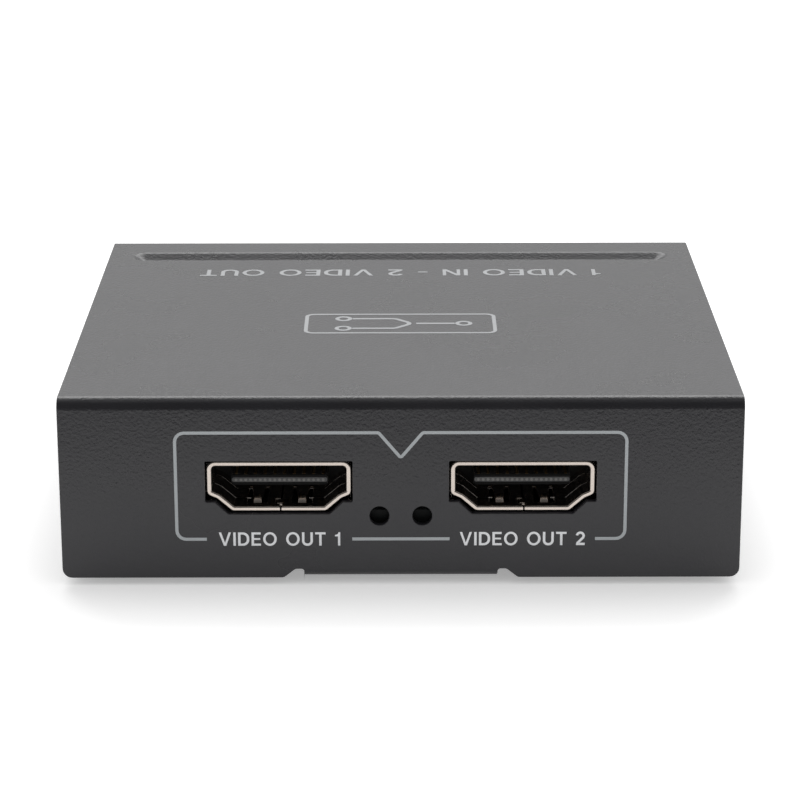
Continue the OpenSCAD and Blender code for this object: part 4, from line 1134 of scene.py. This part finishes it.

# %% [markdown]
# Inside a port, the tongue ends in a blunt black nose, in front of the contacts, set darker and duller
# than the moulding as painted shade. A lighter grey band runs along it as a painted highlight, where its
# front catches the light, with one small light nub for each of the nineteen contacts as a painted glint.
# Each is a thin plate that faces the plug.

# %% Tongue noses
TONGUE_W, TONGUE_T, TONGUE_SET, TONGUE_DROP = 9.92, 1.17, 1.9, -2.555 - ROLLED
BAND_H, BAND_RISE, NUBS, NUB_PITCH, NUB_W, NUB_H = 0.50, 0.03, 19, 0.5, 0.28, 0.30
# Painted shade and light: the nose is darker than the moulding, and the band and the nubs are lighter.
nose_black_and_painted_shade = finish("nose_black_and_painted_shade", (grey(0.004), grey(0.006)), (0.6, 0.7), grain=0.15, IOR=1.25)
band_painted_highlight = finish("band_painted_highlight", (grey(0.075), grey(0.10)), (0.5, 0.6), grain=0.15, bump=0.004)
nub_painted_glint = finish(
    "nub_painted_glint", ((0.15, 0.148, 0.142), (0.20, 0.197, 0.19)), (0.35, 0.5), grain=0.1, bump=0.002)


def set_plate(port, layer, outlines, thick, edge, deep, rise, material, slot):
    """Thin plate inside a port, that far behind its rim and above its upper face."""
    plate = flat_blank(outlines[0], outlines[1:], thick, edge)
    place = port_place(port) @ Matrix.Translation((0, deep, rise)) @ standing
    set_in_place(f"{port}_{layer}", plate, place, material)


nub_x = [(k - (NUBS - 1) / 2) * NUB_PITCH for k in range(NUBS)]
nubs = [plate_outline(x, BAND_RISE, NUB_W, NUB_H, 0.1) for x in nub_x]
nose = [plate_outline(0, 0, TONGUE_W, TONGUE_T, 0.2)]
band = [plate_outline(0, BAND_RISE, TONGUE_W - 0.1, BAND_H, 0.2)]
nose_layers = [
    ("nose", nose, 0.25, 0.1, TONGUE_SET - 0.02, TONGUE_DROP, nose_black_and_painted_shade),
    ("band", band, 0.08, 0.03, TONGUE_SET - 0.06, TONGUE_DROP, band_painted_highlight),
    ("nubs", nubs, 0.06, 0.025, TONGUE_SET - 0.1, TONGUE_DROP, nub_painted_glint),
]
for port in ports:
    for layer in nose_layers:
        set_plate(port, *layer, "port_moulding")
print("noses with", NUBS, "nubs each")

# %% [markdown]
# Further in, the shell has stamped steps on its shoulders, where a plug and then the moulding stop. They
# show as two thin lines on each side in the dark. Their cut edges are bare and dull, so they scatter the
# little light that gets there.

# %% Ledges inside the ports
LEDGES_DEEP, LEDGE_W, LEDGE_T, LEDGE_EDGE = (2.7, 5.6), 0.10, 0.1, 0.03
ledge_nickel = finish(
    "ledge_nickel", ((0.50, 0.47, 0.44), (0.60, 0.57, 0.53)), (0.5, 0.6), grain=0.1, bump=0.002)
ledge_corners = [(PORT_W / 2 - 0.2, SIDE_H - 0.1, 0), (KNEE_W / 2, KNEE_H, 0.3),
                 (FLOOR_W / 2, 0, 0.3), (FLOOR_W / 2 - 1.6, 0, 0)]
ledges = []
for side in (-1, 1):
    inward = [(side * (x - 0.04), z + 0.05 - PORT_H - SHELL_T - ROLLED, r) for x, z, r in ledge_corners]
    ledges.append(stroke(rounded_outline(inward, closed=False), LEDGE_W))
for port in ports:
    for k, deep in enumerate(LEDGES_DEEP, 1):
        set_plate(port, f"ledges_{k}", ledges, LEDGE_T, LEDGE_EDGE, deep, 0.0, ledge_nickel, "port_nickel")
print("ledges", LEDGES_DEEP, "mm behind the rims")

# %% [markdown]
